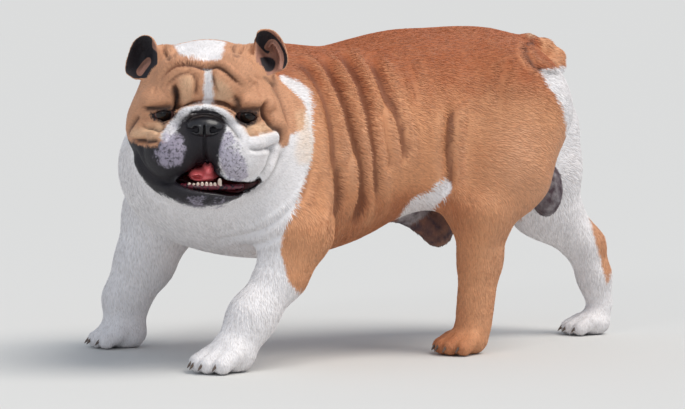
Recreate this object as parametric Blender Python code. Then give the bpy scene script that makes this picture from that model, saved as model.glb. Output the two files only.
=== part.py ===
"""A life-size English bulldog, standing in mid step with its head turned to its left.

The dog is one smooth body, described as rounded forms that melt into one another, and parted with
thin cuts into the pieces that a person would name. Ears, eyes, nose, tongue and teeth are made apart.

Metres. +Z is up, the dog walks towards -Y, and its own left side is +X. The floor is z = 0.
"""

import math

import bmesh
import bpy
import numpy as np
from mathutils import Matrix, Vector

# Pieces that touch are this far apart
GAP = 0.0003
# A faceted surface moves outward by this much to leave that gap at its edges too
ROOM_MARGIN = 0.0005

# The middle of the dog's outline on the floor, where the finished model has its origin
MIDDLE = Vector((0.008, 0.171, 0.0))

# Where the head is carried: the point midway between the eyes, and how it is turned, in degrees
HEAD_PLACE = np.array((0.177, -0.142, 0.3150))
HEAD_TURN = 65.0
HEAD_NOD = 6.0
HEAD_TILT = 1.5

# Each form of the trunk: centre and half sizes along x, y and z
TRUNK = (
    ((0.010, -0.040, 0.238), (0.142, 0.142, 0.118)),
    ((0.004, 0.055, 0.255), (0.150, 0.150, 0.126)),
    ((-0.006, 0.150, 0.286), (0.128, 0.140, 0.110)),
    ((-0.008, 0.240, 0.318), (0.108, 0.130, 0.096)),
    ((-0.004, 0.335, 0.318), (0.092, 0.098, 0.092)),
)
TRUNK_MELT = 0.05

NECK_BACK = (0.02, 0.0, 0.286)
NECK_FRONT = (0.096, -0.098, 0.282)
NECK_RADII = (0.110, 0.094)

# Each leg is a chain of joints, each with its place and its radius
FRONT_LEGS = {
    "left": (
        ((0.108, -0.030, 0.250), 0.064),
        ((0.140, -0.014, 0.168), 0.049),
        ((0.150, -0.082, 0.065), 0.034),
    ),
    "right": (
        ((-0.112, -0.060, 0.245), 0.062),
        ((-0.160, -0.064, 0.172), 0.050),
        ((-0.170, -0.108, 0.065), 0.034),
    ),
}
HIND_LEGS = {
    "left": (
        ((0.062, 0.335, 0.310), 0.082),
        ((0.090, 0.305, 0.235), 0.064),
        ((0.104, 0.274, 0.186), 0.044),
        ((0.094, 0.279, 0.122), 0.030),
        ((0.092, 0.266, 0.040), 0.026),
    ),
    "right": (
        ((-0.060, 0.355, 0.310), 0.084),
        ((-0.062, 0.412, 0.270), 0.076),
        ((-0.066, 0.440, 0.222), 0.062),
        ((-0.070, 0.456, 0.178), 0.046),
        ((-0.058, 0.520, 0.118), 0.023),
        ((-0.056, 0.531, 0.040), 0.021),
    ),
}
# Each paw: the middle of its sole, the way it points in degrees, and how big it is
PAWS = {
    "front_left": ((0.152, -0.108, 0.0), 14.0, 1.02),
    "front_right": ((-0.170, -0.124, 0.0), -12.0, 1.02),
    "hind_left": ((0.092, 0.254, 0.0), 14.0, 0.92),
    "hind_right": ((-0.056, 0.520, 0.0), -8.0, 0.88),
}
# Each toe's place across its paw, counted in toes from the middle
TOES = (-1.5, -0.5, 0.5, 1.5)

# The screw tail: it leaves the croup, rises and curls down on itself
TAIL = (
    ((0.000, 0.366, 0.382), 0.027),
    ((-0.002, 0.392, 0.391), 0.019),
    ((-0.004, 0.418, 0.389), 0.015),
    ((0.000, 0.433, 0.377), 0.0145),
    ((0.010, 0.429, 0.366), 0.013),
    ((0.020, 0.412, 0.364), 0.012),
    ((0.022, 0.398, 0.374), 0.010),
)
# The fold of skin from the belly to the front of each thigh, as places on the left side
FLANK = (((0.056, 0.195, 0.228), 0.036), ((0.084, 0.262, 0.210), 0.032))
SHEATH = (((0.000, 0.190, 0.196), 0.018), ((0.000, 0.260, 0.150), 0.021))
SCROTUM = ((0.004, 0.419, 0.199), (0.023, 0.023, 0.034))
# The cleft between the buttocks, from under the tail down to the inside of the thighs
CLEFT = (((0.002, 0.478, 0.335), 0.010), ((0.002, 0.462, 0.255), 0.016), ((0.004, 0.430, 0.150), 0.030))
CLEFT_MELT = 0.030

# Loose skin on the left of the neck lies in rolls round one axis, which runs out to the side.
# Each furrow between two rolls: its radius round that axis, and its depth
ROLL_AXIS_TURN = 65.0
ROLL_CENTRE_ALONG = -0.0226
ROLL_CENTRE_UP = 0.252
ROLLS = ((0.138, 0.0040), (0.158, 0.0070), (0.181, 0.0065), (0.211, 0.0055), (0.236, 0.0024))
ROLL_HALF_WIDTH = 0.0060

# The head's own frame measures forward, to its side, and up from midway between the eyes.
# Each form of the skull and lower face: centre, half sizes, and how far it melts into the rest
SKULL = ((-0.088, 0.0, 0.026), (0.085, 0.076, 0.057))
SKULL_FORMS = (
    ((-0.085, 0.045, 0.028), (0.056, 0.037, 0.042), 0.016),
    ((-0.030, 0.028, 0.038), (0.032, 0.036, 0.036), 0.014),
    ((-0.062, 0.060, -0.022), (0.058, 0.041, 0.050), 0.024),
    ((-0.026, 0.052, 0.016), (0.026, 0.032, 0.018), 0.010),
    ((-0.026, 0.060, -0.025), (0.031, 0.031, 0.018), 0.008),
    ((-0.026, 0.050, -0.057), (0.042, 0.038, 0.037), 0.012),
    ((0.010, 0.0, -0.088), (0.039, 0.050, 0.022), 0.014),
    ((-0.045, 0.0, -0.082), (0.072, 0.068, 0.038), 0.026),
)
EYE = (-0.0120, 0.050, 0.0)
EYE_RADIUS = 0.0135
LID_RADIUS = 0.0168
LID_OPENING = ((0.0030, 0.050, -0.001), (0.0150, 0.0140, 0.0070))
MOUTH_CAVITY = ((0.022, 0.0, -0.0755), (0.038, 0.058, 0.0120))

# The muzzle: its core, the flews that hang from it, and the roll of skin over the nose
MUZZLE = ((-0.006, 0.0, -0.022), (0.037, 0.054, 0.035))
FLEWS = ((0.004, 0.0395, -0.042), (0.040, 0.0350, 0.036))
NOSE_ROLL = (
    (0.021, 0.0, 0.0110),
    (0.018, 0.021, 0.0080),
    (0.013, 0.036, -0.001),
    (0.007, 0.048, -0.015),
    (0.002, 0.055, -0.030),
)
NOSE_ROLL_RADIUS = 0.0074
NOSE = ((0.018, 0.0, -0.0105), (0.018, 0.0235, 0.0140))
NOSTRIL = ((0.036, 0.0105, -0.0125), (0.012, 0.0042, 0.0048))
NOSTRIL_SLIT = ((0.033, 0.0180, -0.0135), (0.010, 0.0080, 0.0020))
NOSE_GROOVE = ((0.036, 0.0, -0.0160), (0.008, 0.0014, 0.0120))
TONGUE = ((0.000, -0.003, -0.0715), (0.0315, 0.0185, 0.0145))

# The lower front teeth stand in a shallow arc behind the lip, with a tooth like a cone at each end
INCISOR = (0.0062, 0.0024, 0.011)
INCISORS = 6
INCISOR_PITCH = 0.0050
CANINE = (0.0042, 0.0010, 0.018)
CANINE_SIDE = 0.0205
TEETH_FORWARD = 0.0365
TEETH_UP = -0.0765
TEETH_ARC = 14.0

# The jaw is parted from the head by a plane from the corners of the mouth down to the lips
MOUTH_CORNER = (-0.022, 0.0, -0.0450)
JAW_SLOPE = 30.0

# How finely each surface is sampled, and about how many triangles it is thinned to
BODY_STEP = 0.006
HEAD_STEP = 0.0035
PAW_STEP = 0.0035
TAIL_STEP = 0.004
TONGUE_STEP = 0.0025
NOSE_STEP = 0.0013
BODY_TRIANGLES = 4700
HEAD_TRIANGLES = 5400
PAW_TRIANGLES = 480
TAIL_TRIANGLES = 800
TONGUE_TRIANGLES = 240
NOSE_TRIANGLES = 420
BODY_LOW = (-0.24, -0.27, 0.02)
BODY_HIGH = (0.26, 0.60, 0.46)

CLAW_RADIUS = 0.0046
CLAW_TIP_RADIUS = 0.0012
CLAW_LENGTH = 0.0155

# Finishes: colour and roughness of each kind of surface
RUST_COAT = ((0.38, 0.15, 0.06), 0.75)
FAWN_COAT = ((0.55, 0.30, 0.15), 0.75)
WHITE_COAT = ((0.82, 0.78, 0.76), 0.75)
NOSE_LEATHER = ((0.02, 0.018, 0.02), 0.35)
DARK_EYE = ((0.03, 0.015, 0.01), 0.08)
WET_TONGUE = ((0.55, 0.12, 0.12), 0.3)

# Creases of the face: how deep, how wide, and the points that each runs through, side and up
CREASES = (
    (0.0034, 0.0042, ((0.0, 0.056), (0.0, 0.016))),
    (0.0034, 0.0038, ((0.0, 0.059), (0.024, 0.062), (0.042, 0.056), (0.054, 0.046))),
    (
        0.0042,
        0.0040,
        (
            (0.030, 0.056), (0.044, 0.049), (0.060, 0.036), (0.069, 0.019), (0.0735, 0.002),
            (0.083, -0.012), (0.0905, -0.021), (0.0915, -0.036),
        ),
    ),
    (0.0024, 0.0036, ((0.010, 0.050), (0.022, 0.047), (0.038, 0.036), (0.054, 0.022), (0.066, 0.014))),
    (0.0048, 0.0036, ((0.034, 0.031), (0.033, 0.018), (0.034, 0.004))),
    (0.0034, 0.0038, ((0.054, -0.029), (0.066, -0.031), (0.078, -0.032), (0.088, -0.028))),
)
# The lips meet along this line outside the open part of the mouth
LIP_LINE = (0.0050, 0.0034, ((0.050, -0.079), (0.064, -0.075), (0.077, -0.060), (0.085, -0.041)))

# An ear's rim as seen from the front, round from the front of its root: forward, side and up
EAR_RIM = (
    (-0.058, 0.0575, 0.052),
    (-0.056, 0.0545, 0.066),
    (-0.060, 0.0570, 0.079),
    (-0.068, 0.0655, 0.0875),
    (-0.078, 0.0770, 0.0870),
    (-0.084, 0.0875, 0.0790),
    (-0.084, 0.0945, 0.0680),
    (-0.080, 0.0985, 0.0550),
    (-0.075, 0.0975, 0.0430),
    (-0.069, 0.0920, 0.0400),
    (-0.063, 0.0830, 0.0370),
    (-0.060, 0.0730, 0.0390),
    (-0.059, 0.0640, 0.0430),
)
EAR_DEEP = (-0.090, 0.070, 0.055)
EAR_THICK = 0.0036
# How far each ear is moved out and raised from the places above; the left ear is pricked higher
EAR_SHIFTS = {1: (-0.003, 0.008), -1: (0.003, -0.003)}
EAR_RINGS = 4


def joined(a, b, melt):
    """The union of two forms, with the crease between them filled over the distance melt."""
    share = np.clip(0.5 + 0.5 * (b - a) / melt, 0.0, 1.0)
    return b + (a - b) * share - melt * share * (1.0 - share)


def carved(a, b, melt):
    """Form a with form b taken out, and the edge rounded over the distance melt."""
    return -joined(-a, b, melt)


def ball(p, centre, radii):
    """Distance to an ellipsoid, close to exact near its surface."""
    q = (p - np.asarray(centre)) / np.asarray(radii)
    reach = np.linalg.norm(q, axis=1)
    slope = np.linalg.norm(q / np.asarray(radii), axis=1) + 1e-9
    return reach * (reach - 1.0) / slope


def limb(p, start, end, start_radius, end_radius):
    """Distance to a rounded cone between two points."""
    start, end = np.asarray(start, float), np.asarray(end, float)
    along = end - start
    t = np.clip((p - start) @ along / (along @ along), 0.0, 1.0)
    gap = p - start - t[:, None] * along
    return np.linalg.norm(gap, axis=1) - (start_radius + (end_radius - start_radius) * t)


def axes_of(turn, nod, tilt):
    """Rows: a form's forward, left and up directions. Turn is from -Y towards +X, in degrees."""
    yaw = Matrix.Rotation(math.radians(turn), 3, "Z")
    pitch = Matrix.Rotation(math.radians(nod), 3, "X")
    roll = Matrix.Rotation(math.radians(tilt), 3, "Y")
    spin = np.array(yaw @ pitch @ roll)
    return np.stack((spin @ (0, -1, 0), spin @ (1, 0, 0), spin @ (0, 0, 1)))


HEAD_AXES = axes_of(HEAD_TURN, HEAD_NOD, HEAD_TILT)


def chain(p, joints, melt):
    """A limb through several joints, each with its own radius."""
    form = limb(p, joints[0][0], joints[1][0], joints[0][1], joints[1][1])
    for (start, start_radius), (end, end_radius) in zip(joints[1:], joints[2:]):
        form = joined(form, limb(p, start, end, start_radius, end_radius), melt)
    return form


def smooth_path(points, pieces=5):
    """A curve through a few points, as many short runs (the Catmull-Rom rule)."""
    points = np.asarray(points, float)
    held = np.vstack((2 * points[0] - points[1], points, 2 * points[-1] - points[-2]))
    found = []
    for a, b, c, d in zip(held, held[1:], held[2:], held[3:]):
        for t in np.arange(pieces) / pieces:
            found.append(
                b + 0.5 * t * (c - a + t * (2 * a - 5 * b + 4 * c - d + t * (3 * (b - c) + d - a)))
            )
    return np.array(found + [points[-1]])


def path_distance(q, path):
    """Distance from each point to a curve, in two or three dimensions."""
    nearest = np.full(len(q), 1.0)
    for start, end in zip(path, path[1:]):
        along = end - start
        t = np.clip((q - start) @ along / (along @ along), 0.0, 1.0)
        nearest = np.minimum(nearest, np.linalg.norm(q - start - t[:, None] * along, axis=1))
    return nearest


def trunk_form(p):
    form = ball(p, *TRUNK[0])
    for centre, radii in TRUNK[1:]:
        form = joined(form, ball(p, centre, radii), TRUNK_MELT)
    return joined(form, chain(p, SHEATH, 0.01), 0.03)


def neck_form(p):
    return limb(p, NECK_BACK, NECK_FRONT, *NECK_RADII)


def toe_tip(across):
    """The end of a toe in its paw's frame; across counts from the paw's middle line."""
    return np.array((0.034 - 0.009 * (abs(across) - 0.5), 0.0165 * across, 0.0115))


def paw_form(p, place, point, size):
    """Four arched toes in a fan, before one pad; a little of it is under the floor's level."""
    q = (p - np.asarray(place)) @ axes_of(point, 0.0, 0.0).T / size
    form = ball(q, (-0.008, 0.0, 0.018), (0.034, 0.029, 0.022))
    for across in TOES:
        tip = toe_tip(across)
        knuckle = tip + (-0.018, -0.0015 * across, 0.0095)
        form = joined(form, limb(q, knuckle, tip, 0.0125, 0.0125), 0.004)
    return form * size


def front_leg_form(p, side):
    form = chain(p, FRONT_LEGS[side], 0.02)
    return joined(form, paw_form(p, *PAWS["front_" + side]), 0.018)


def hind_leg_form(p, side):
    form = chain(p, HIND_LEGS[side], 0.018)
    out = 1 if side == "left" else -1
    form = joined(form, chain(p * (out, 1, 1), FLANK, 0.01), 0.03)
    return joined(form, paw_form(p, *PAWS["hind_" + side]), 0.014)


def tail_form(p):
    return chain(p, TAIL, 0.006)


def roll_depth(p):
    """How deep the furrows between the neck's rolls of skin are at each point."""
    turn = math.radians(ROLL_AXIS_TURN)
    along = p @ (math.cos(turn), math.sin(turn), 0.0) - ROLL_CENTRE_ALONG
    up = p[:, 2] - ROLL_CENTRE_UP
    reach = np.hypot(along, up)
    angle = np.degrees(np.arctan2(up, along))
    outer = np.clip(p[:, 0] / 0.06, 0.0, 1.0)
    shown = outer * np.clip((angle + 55.0) / 35.0, 0.0, 1.0) * np.clip((95.0 - angle) / 20.0, 0, 1)
    depth = np.zeros(len(p))
    for radius, deep in ROLLS:
        depth += deep * np.exp(-(((reach - radius) / ROLL_HALF_WIDTH) ** 2))
    return depth * shown


def creased(form, face, shown, creases):
    """Furrows along lines of the face, each with a low roll of skin on either side."""
    for deep, wide, points in creases:
        gap = path_distance(face, smooth_path(points)) / wide
        form = form + shown * deep * (np.exp(-(gap**2)) - 0.3 * np.exp(-((gap - 2.2) ** 2)))
    return form


def skull_form(q):
    """Skull, cheeks, brows, jowls and chin, with the hollow of the mouth and the lids."""
    form = ball(q, *SKULL)
    for centre, radii, melt in SKULL_FORMS:
        form = joined(form, ball(q, centre, radii), melt)
    form = joined(form, ball(q, EYE, (LID_RADIUS,) * 3), 0.008)
    form = carved(form, ball(q, *LID_OPENING), 0.003)
    return carved(form, ball(q, *MOUTH_CAVITY), 0.005)


def muzzle_form(q):
    form = joined(ball(q, *MUZZLE), ball(q, *FLEWS), 0.010)
    arch = path_distance(q, smooth_path(NOSE_ROLL)) - NOSE_ROLL_RADIUS
    return joined(form, arch, 0.006)


def in_head_frame(p):
    """Points in the head's own frame, folded onto one side of it."""
    q = (p - HEAD_PLACE) @ HEAD_AXES.T
    q[:, 1] = np.abs(q[:, 1])
    return q


def head_form(p):
    """The head with its folds, lips, lids and open mouth."""
    q = in_head_frame(p)
    form = joined(skull_form(q), muzzle_form(q), 0.0045)
    shown = np.clip((q[:, 0] + 0.085) / 0.03, 0.0, 1.0)
    return creased(form, q[:, 1:], shown, CREASES + (LIP_LINE,))


def nose_form(p):
    """The nose leather, with its nostrils, the slits beside them and the groove between."""
    q = in_head_frame(p)
    form = ball(q, *NOSE)
    for hollow in (NOSTRIL, NOSTRIL_SLIT, NOSE_GROOVE):
        form = carved(form, ball(q, *hollow), 0.0015)
    return form


def tongue_form(p):
    return ball((p - HEAD_PLACE) @ HEAD_AXES.T, *TONGUE)


def dog_form(p):
    """The whole dog without its ears, eyes, nose, tongue, teeth and claws."""
    form = joined(trunk_form(p), neck_form(p), 0.05)
    for side in ("left", "right"):
        form = joined(form, front_leg_form(p, side), 0.035)
        form = joined(form, hind_leg_form(p, side), 0.035)
    form = carved(form, chain(p, CLEFT, 0.01), CLEFT_MELT)
    form = joined(form, ball(p, *SCROTUM), 0.007)
    form = joined(form, tail_form(p), 0.010)
    form = form + roll_depth(p)
    near_head = np.linalg.norm(p - HEAD_PLACE, axis=1) < 0.24
    form[near_head] = joined(form[near_head], head_form(p[near_head]), 0.012)
    return form


def sampled(form, axes, block=4):
    """A form's values on a grid: exact near its surface, and rough where only the sign counts."""
    def points(chosen):
        return np.stack(np.meshgrid(*chosen, indexing="ij"), -1).reshape(-1, 3)

    rough_axes = [axis[::block] for axis in axes]
    rough = form(points(rough_axes)).reshape([len(axis) for axis in rough_axes])
    nearest = [
        np.minimum((np.arange(len(axis)) + block // 2) // block, len(few) - 1)
        for axis, few in zip(axes, rough_axes)
    ]
    values = rough[np.ix_(*nearest)].copy()
    step = axes[0][1] - axes[0][0]
    close = np.argwhere(np.abs(values) < 3.0 * block * step)
    where = np.stack([axis[close[:, i]] for i, axis in enumerate(axes)], -1)
    values[tuple(close.T)] = form(where)
    return values


def without_pinches(values, step):
    """Fill the grid points where two sheets of a surface would share one edge."""
    changed = True
    while changed:
        changed = False
        for one, two in ((0, 1), (0, 2), (1, 2)):
            def side(first, second):
                window = [slice(None)] * 3
                window[one] = slice(first, first - 1 or None)
                window[two] = slice(second, second - 1 or None)
                return values[tuple(window)]

            for a, b in (((0, 0), (1, 1)), ((0, 1), (1, 0))):
                c, d = (a[0], b[1]), (b[0], a[1])
                pinched = (side(*a) < 0) & (side(*b) < 0) & (side(*c) >= 0) & (side(*d) >= 0)
                if pinched.any():
                    side(*c)[pinched] = -0.05 * step
                    changed = True
    return values


def surface(form, low, high, step):
    """The zero surface of a form as corners and quads, by the surface nets rule: one corner to a
    cell that the surface crosses, and one quad round each grid edge that it crosses."""
    low, high = np.asarray(low, float), np.asarray(high, float)
    counts = np.ceil((high - low) / step).astype(int) + 1
    axes = [low[i] + step * np.arange(counts[i]) for i in range(3)]
    values = sampled(form, axes)
    for i in range(3):
        for end in (0, -1):
            face = [slice(None)] * 3
            face[i] = end
            values[tuple(face)] = np.maximum(values[tuple(face)], 0.3 * step)
    values = without_pinches(values, step)
    inside = values < 0
    corners = [(i, j, k) for i in (0, 1) for j in (0, 1) for k in (0, 1)]

    def corner(array, offset):
        return array[tuple(slice(o, n - 1 + o) for o, n in zip(offset, array.shape))]

    held = sum(corner(inside, c).astype(np.int8) for c in corners)
    cells = np.argwhere((held > 0) & (held < 8))
    index = np.full(held.shape, -1, np.int64)
    index[tuple(cells.T)] = np.arange(len(cells))
    total, hits = np.zeros((len(cells), 3)), np.zeros(len(cells))
    for a in corners:
        for b in corners:
            if sum(b) != sum(a) + 1 or any(y < x for x, y in zip(a, b)):
                continue
            first = values[tuple((cells + a).T)]
            second = values[tuple((cells + b).T)]
            crossed = (first < 0) != (second < 0)
            t = np.where(crossed, first / np.where(crossed, first - second, 1.0), 0.0)
            total += np.where(crossed[:, None], np.asarray(a) + t[:, None] * np.subtract(b, a), 0.0)
            hits += crossed
    places = low + step * (cells + total / hits[:, None])
    quads = []
    for axis in range(3):
        one, two = (axis + 1) % 3, (axis + 2) % 3
        ahead = [slice(None)] * 3
        behind = [slice(None)] * 3
        ahead[axis], behind[axis] = slice(1, None), slice(None, -1)
        flips = inside[tuple(behind)] != inside[tuple(ahead)]
        edges = np.argwhere(flips)
        edges = edges[(edges[:, one] > 0) & (edges[:, two] > 0)]
        edges = edges[(edges[:, one] < counts[one] - 1) & (edges[:, two] < counts[two] - 1)]
        ring = []
        for back_one, back_two in ((1, 1), (0, 1), (0, 0), (1, 0)):
            cell = edges.copy()
            cell[:, one] -= back_one
            cell[:, two] -= back_two
            ring.append(index[tuple(cell.T)])
        ring = np.stack(ring, -1)
        outward = inside[tuple(edges.T)]
        quads.append(np.where(outward[:, None], ring, ring[:, ::-1]))
    return places, np.concatenate(quads)


def add_object(name, mesh):
    obj = bpy.data.objects.new(name, mesh)
    bpy.context.scene.collection.objects.link(obj)
    return obj


def mesh_object(name, places, faces):
    mesh = bpy.data.meshes.new(name)
    mesh.from_pydata([tuple(v) for v in places], [], [tuple(int(i) for i in f) for f in faces])
    return add_object(name, mesh)


def settle(obj):
    """Make the object's modifiers part of its mesh, in triangles."""
    shown = obj.evaluated_get(bpy.context.evaluated_depsgraph_get())
    mesh = bpy.data.meshes.new_from_object(shown)
    obj.modifiers.clear()
    obj.data = mesh
    form = bmesh.new()
    form.from_mesh(mesh)
    bmesh.ops.triangulate(form, faces=form.faces)
    form.to_mesh(mesh)
    form.free()


def solid(name, form, low, high, step, triangles):
    """The closed surface of a form between two corners, thinned to about so many triangles."""
    obj = mesh_object(name, *surface(form, low, high, step))
    thin = obj.modifiers.new("thin", "DECIMATE")
    thin.ratio = min(1.0, triangles / (2.0 * len(obj.data.polygons)))
    settle(obj)
    return obj


def duplicate(obj, name):
    return add_object(name, obj.data.copy())


def cut(obj, cutter, operation):
    """Keep or remove what the cutter covers, and then take the cutter away."""
    cutter.hide_render = True
    cutter.display_type = "WIRE"
    boolean = obj.modifiers.new("cut", "BOOLEAN")
    boolean.operation = operation
    boolean.solver = "EXACT"
    boolean.object = cutter
    settle(obj)
    bpy.data.objects.remove(cutter)


def fuse(obj, grown_from_it):
    """Union of an object with a collection of closed pieces that grow from it."""
    collection = bpy.data.collections.new("grown")
    for piece in grown_from_it:
        collection.objects.link(piece)
    boolean = obj.modifiers.new("fuse", "BOOLEAN")
    boolean.operation = "UNION"
    boolean.solver = "EXACT"
    boolean.operand_type = "COLLECTION"
    boolean.collection = collection
    settle(obj)
    for piece in grown_from_it:
        bpy.data.objects.remove(piece)
    bpy.data.collections.remove(collection)


def keep_largest(obj):
    """Remove every closed surface of a mesh but the one with the most corners."""
    form = bmesh.new()
    form.from_mesh(obj.data)
    bmesh.ops.dissolve_degenerate(form, dist=1e-6, edges=form.edges)
    bmesh.ops.triangulate(form, faces=form.faces)
    left = set(form.verts)
    groups = []
    while left:
        group, edge_of = set(), [left.pop()]
        while edge_of:
            vert = edge_of.pop()
            group.add(vert)
            for edge in vert.link_edges:
                other = edge.other_vert(vert)
                if other in left:
                    left.remove(other)
                    edge_of.append(other)
        groups.append(group)
    groups.sort(key=len)
    for group in groups[:-1]:
        bmesh.ops.delete(form, geom=list(group), context="VERTS")
    form.to_mesh(obj.data)
    form.free()


def spread(obj, distance):
    """Move a surface outward along its normals."""
    for vert, normal in zip(obj.data.vertices, [v.vector.copy() for v in obj.data.vertex_normals]):
        vert.co += distance * normal


def block(place, axes, low, high, margin=0.0):
    """A box set along the given axes from a place, made larger by a margin on every side."""
    form = bmesh.new()
    bmesh.ops.create_cube(form, size=1.0)
    low, high = np.subtract(low, margin), np.add(high, margin)
    for vert in form.verts:
        local = low + (np.array(vert.co) + 0.5) * (high - low)
        vert.co = Vector(np.asarray(place) + local @ axes)
    mesh = bpy.data.meshes.new("block")
    form.to_mesh(mesh)
    form.free()
    return add_object("block", mesh)


def part_off(source, name, own, others):
    """One piece of the body: what its own block covers, apart from what other blocks cover."""
    obj = duplicate(source, name)
    if own:
        cut(obj, block(*own), "INTERSECT")
    for other in others:
        cut(obj, block(*other, margin=GAP), "DIFFERENCE")
    keep_largest(obj)
    return obj


def from_head(local):
    return HEAD_PLACE + np.asarray(local) @ HEAD_AXES


def round_ball(name, centre, radius):
    mesh = bpy.data.meshes.new(name)
    form = bmesh.new()
    bmesh.ops.create_icosphere(form, subdivisions=3, radius=radius)
    form.to_mesh(mesh)
    form.free()
    mesh.transform(Matrix.Translation(Vector(centre)))
    return add_object(name, mesh)


def spike(name, base, tip, base_radius, tip_radius, sides=8):
    """A closed cone between two points."""
    base, tip = Vector(base), Vector(tip)
    form = bmesh.new()
    bmesh.ops.create_cone(
        form,
        cap_ends=True,
        segments=sides,
        radius1=base_radius,
        radius2=tip_radius,
        depth=(tip - base).length,
    )
    turn = (tip - base).to_track_quat("Z", "Y").to_matrix().to_4x4()
    form.transform(Matrix.Translation((base + tip) / 2) @ turn)
    mesh = bpy.data.meshes.new(name)
    form.to_mesh(mesh)
    form.free()
    return add_object(name, mesh)


def ear_leaf(name, side):
    """A cupped leaf: rings shrink from the rim to the deep point, in front and again behind."""
    out, rise = EAR_SHIFTS[side]
    rim = (np.array(EAR_RIM) + (0, out, rise)) * (1, side, 1)
    rim = smooth_path(np.vstack((rim, rim[:1])), pieces=2)[:-1]
    deep = (np.array(EAR_DEEP) + (0, out, rise)) * (1, side, 1)
    middle = rim.mean(axis=0)
    outward = (rim - middle) / np.linalg.norm(rim - middle, axis=1)[:, None]
    count = len(rim)
    places, faces = [], []
    for layer in (0, 1):
        centre = deep - np.array((EAR_THICK, 0, 0)) * layer
        edge = rim + layer * (0.5 * EAR_THICK * outward - np.array((EAR_THICK, 0, 0)))
        for ring in range(EAR_RINGS):
            share = 1.0 - ring / EAR_RINGS
            flat = middle + (edge - middle) * share
            sunk = (centre - middle) * (1.0 - share**2.2)
            places.extend(flat + sunk)
        places.append(centre)
    size = EAR_RINGS * count + 1
    for layer in (0, 1):
        for ring in range(EAR_RINGS):
            for i in range(count):
                j = (i + 1) % count
                a, b = layer * size + ring * count + i, layer * size + ring * count + j
                if ring < EAR_RINGS - 1:
                    face = (a, b, b + count, a + count)
                else:
                    face = (a, b, (layer + 1) * size - 1)
                faces.append(face if layer else face[::-1])
    for i in range(count):
        j = (i + 1) % count
        faces.append((i, j, size + j, size + i))
    obj = mesh_object(name, [from_head(place) for place in places], faces)
    form = bmesh.new()
    form.from_mesh(obj.data)
    bmesh.ops.triangulate(form, faces=form.faces)
    bmesh.ops.recalc_face_normals(form, faces=form.faces)
    form.to_mesh(obj.data)
    form.free()
    return obj


def teeth():
    pieces = []
    for i in range(INCISORS):
        side = INCISOR_PITCH * (i - (INCISORS - 1) / 2)
        forward = TEETH_FORWARD - TEETH_ARC * side**2
        base = (forward - 0.002, side, TEETH_UP - INCISOR[2])
        tip = (forward, side, TEETH_UP)
        pieces.append(spike("tooth", from_head(base), from_head(tip), INCISOR[1], INCISOR[1]))
    for side in (-CANINE_SIDE, CANINE_SIDE):
        forward = TEETH_FORWARD - TEETH_ARC * side**2
        base = (forward, side, TEETH_UP - INCISOR[2])
        tip = (forward + 0.001, side * 1.08, TEETH_UP - INCISOR[2] + CANINE[2])
        pieces.append(spike("tooth", from_head(base), from_head(tip), CANINE[0], CANINE[1]))
    return pieces


def claws(place, point, size):
    pieces = []
    axes = axes_of(point, 0.0, 0.0)
    for across in TOES:
        root = toe_tip(across) + (0.004, 0.0, 0.003)
        tip = root + np.array((0.84, 0.03 * across, -0.54)) * CLAW_LENGTH
        ends = [np.asarray(place) + (end * size) @ axes for end in (root, tip)]
        pieces.append(spike("claw", *ends, CLAW_RADIUS * size, CLAW_TIP_RADIUS, sides=6))
    return pieces


def paint(obj):
    """Give a piece its own material, by what kind of surface it is."""
    finishes = {
        "head": FAWN_COAT,
        "jaw": WHITE_COAT,
        "leg_front": WHITE_COAT,
        "paw_front": WHITE_COAT,
        "paw_hind": FAWN_COAT,
        "nose": NOSE_LEATHER,
        "eye": DARK_EYE,
        "tongue": WET_TONGUE,
    }
    kind = next((kind for kind in finishes if obj.name.startswith(kind)), None)
    colour, roughness = finishes.get(kind, RUST_COAT)
    material = bpy.data.materials.new(obj.name)
    material.use_nodes = True
    shader = material.node_tree.nodes["Principled BSDF"]
    shader.inputs["Base Color"].default_value = (*colour, 1.0)
    shader.inputs["Roughness"].default_value = roughness
    shader.inputs["Metallic"].default_value = 0.0
    obj.data.materials.clear()
    obj.data.materials.append(material)


# Blocks part the body: a place, axes, and the low and high corners measured along those axes
LEVEL = axes_of(0.0, 0.0, 0.0)
JAW_AXES = axes_of(HEAD_TURN, HEAD_NOD + JAW_SLOPE, HEAD_TILT)
HEAD_BLOCK = (HEAD_PLACE, HEAD_AXES, (-0.108, -0.15, -0.122), (0.10, 0.15, 0.13))
JAW_BLOCK = (from_head(MOUTH_CORNER), JAW_AXES, (-0.020, -0.12, -0.080), (0.14, 0.12, 0.0))
NECK_BLOCK = (
    (0.030, -0.020, 0.290),
    axes_of(45.0, 0.0, 0.0),
    (0.0, -0.22, -0.085),
    (0.3, 0.22, 0.2),
)
TAIL_BLOCK = (
    (0.0, 0.386, 0.386),
    axes_of(180.0, -18.0, 0.0),
    (0.0, -0.06, -0.036),
    (0.12, 0.06, 0.06),
)
LEG_BLOCKS = {
    "front_left": ((0.075, -0.030, 0.190), LEVEL, (-0.075, 0.0, -0.2), (0.2, 0.20, 0.0)),
    "front_right": ((-0.080, -0.070, 0.190), LEVEL, (-0.10, -0.20, -0.2), (0.16, 0.0, 0.0)),
    "hind_left": ((0.022, 0.320, 0.275), LEVEL, (-0.115, 0.0, -0.3), (0.12, 0.20, 0.0)),
    "hind_right": ((-0.022, 0.400, 0.275), LEVEL, (-0.20, -0.20, -0.3), (0.13, 0.0, 0.0)),
}
PAW_BLOCKS = {
    name: (place, axes_of(point, 0.0, 0.0), (-0.055, -0.05, 0.0), (0.085, 0.05, 0.052))
    for name, (place, point, _) in PAWS.items()
}


def leave_room(bone, thing):
    """Take the shape of a thing, made a little larger all round, out of a bone."""
    room = duplicate(thing, "room")
    spread(room, ROOM_MARGIN)
    cut(bone, room, "DIFFERENCE")


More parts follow.
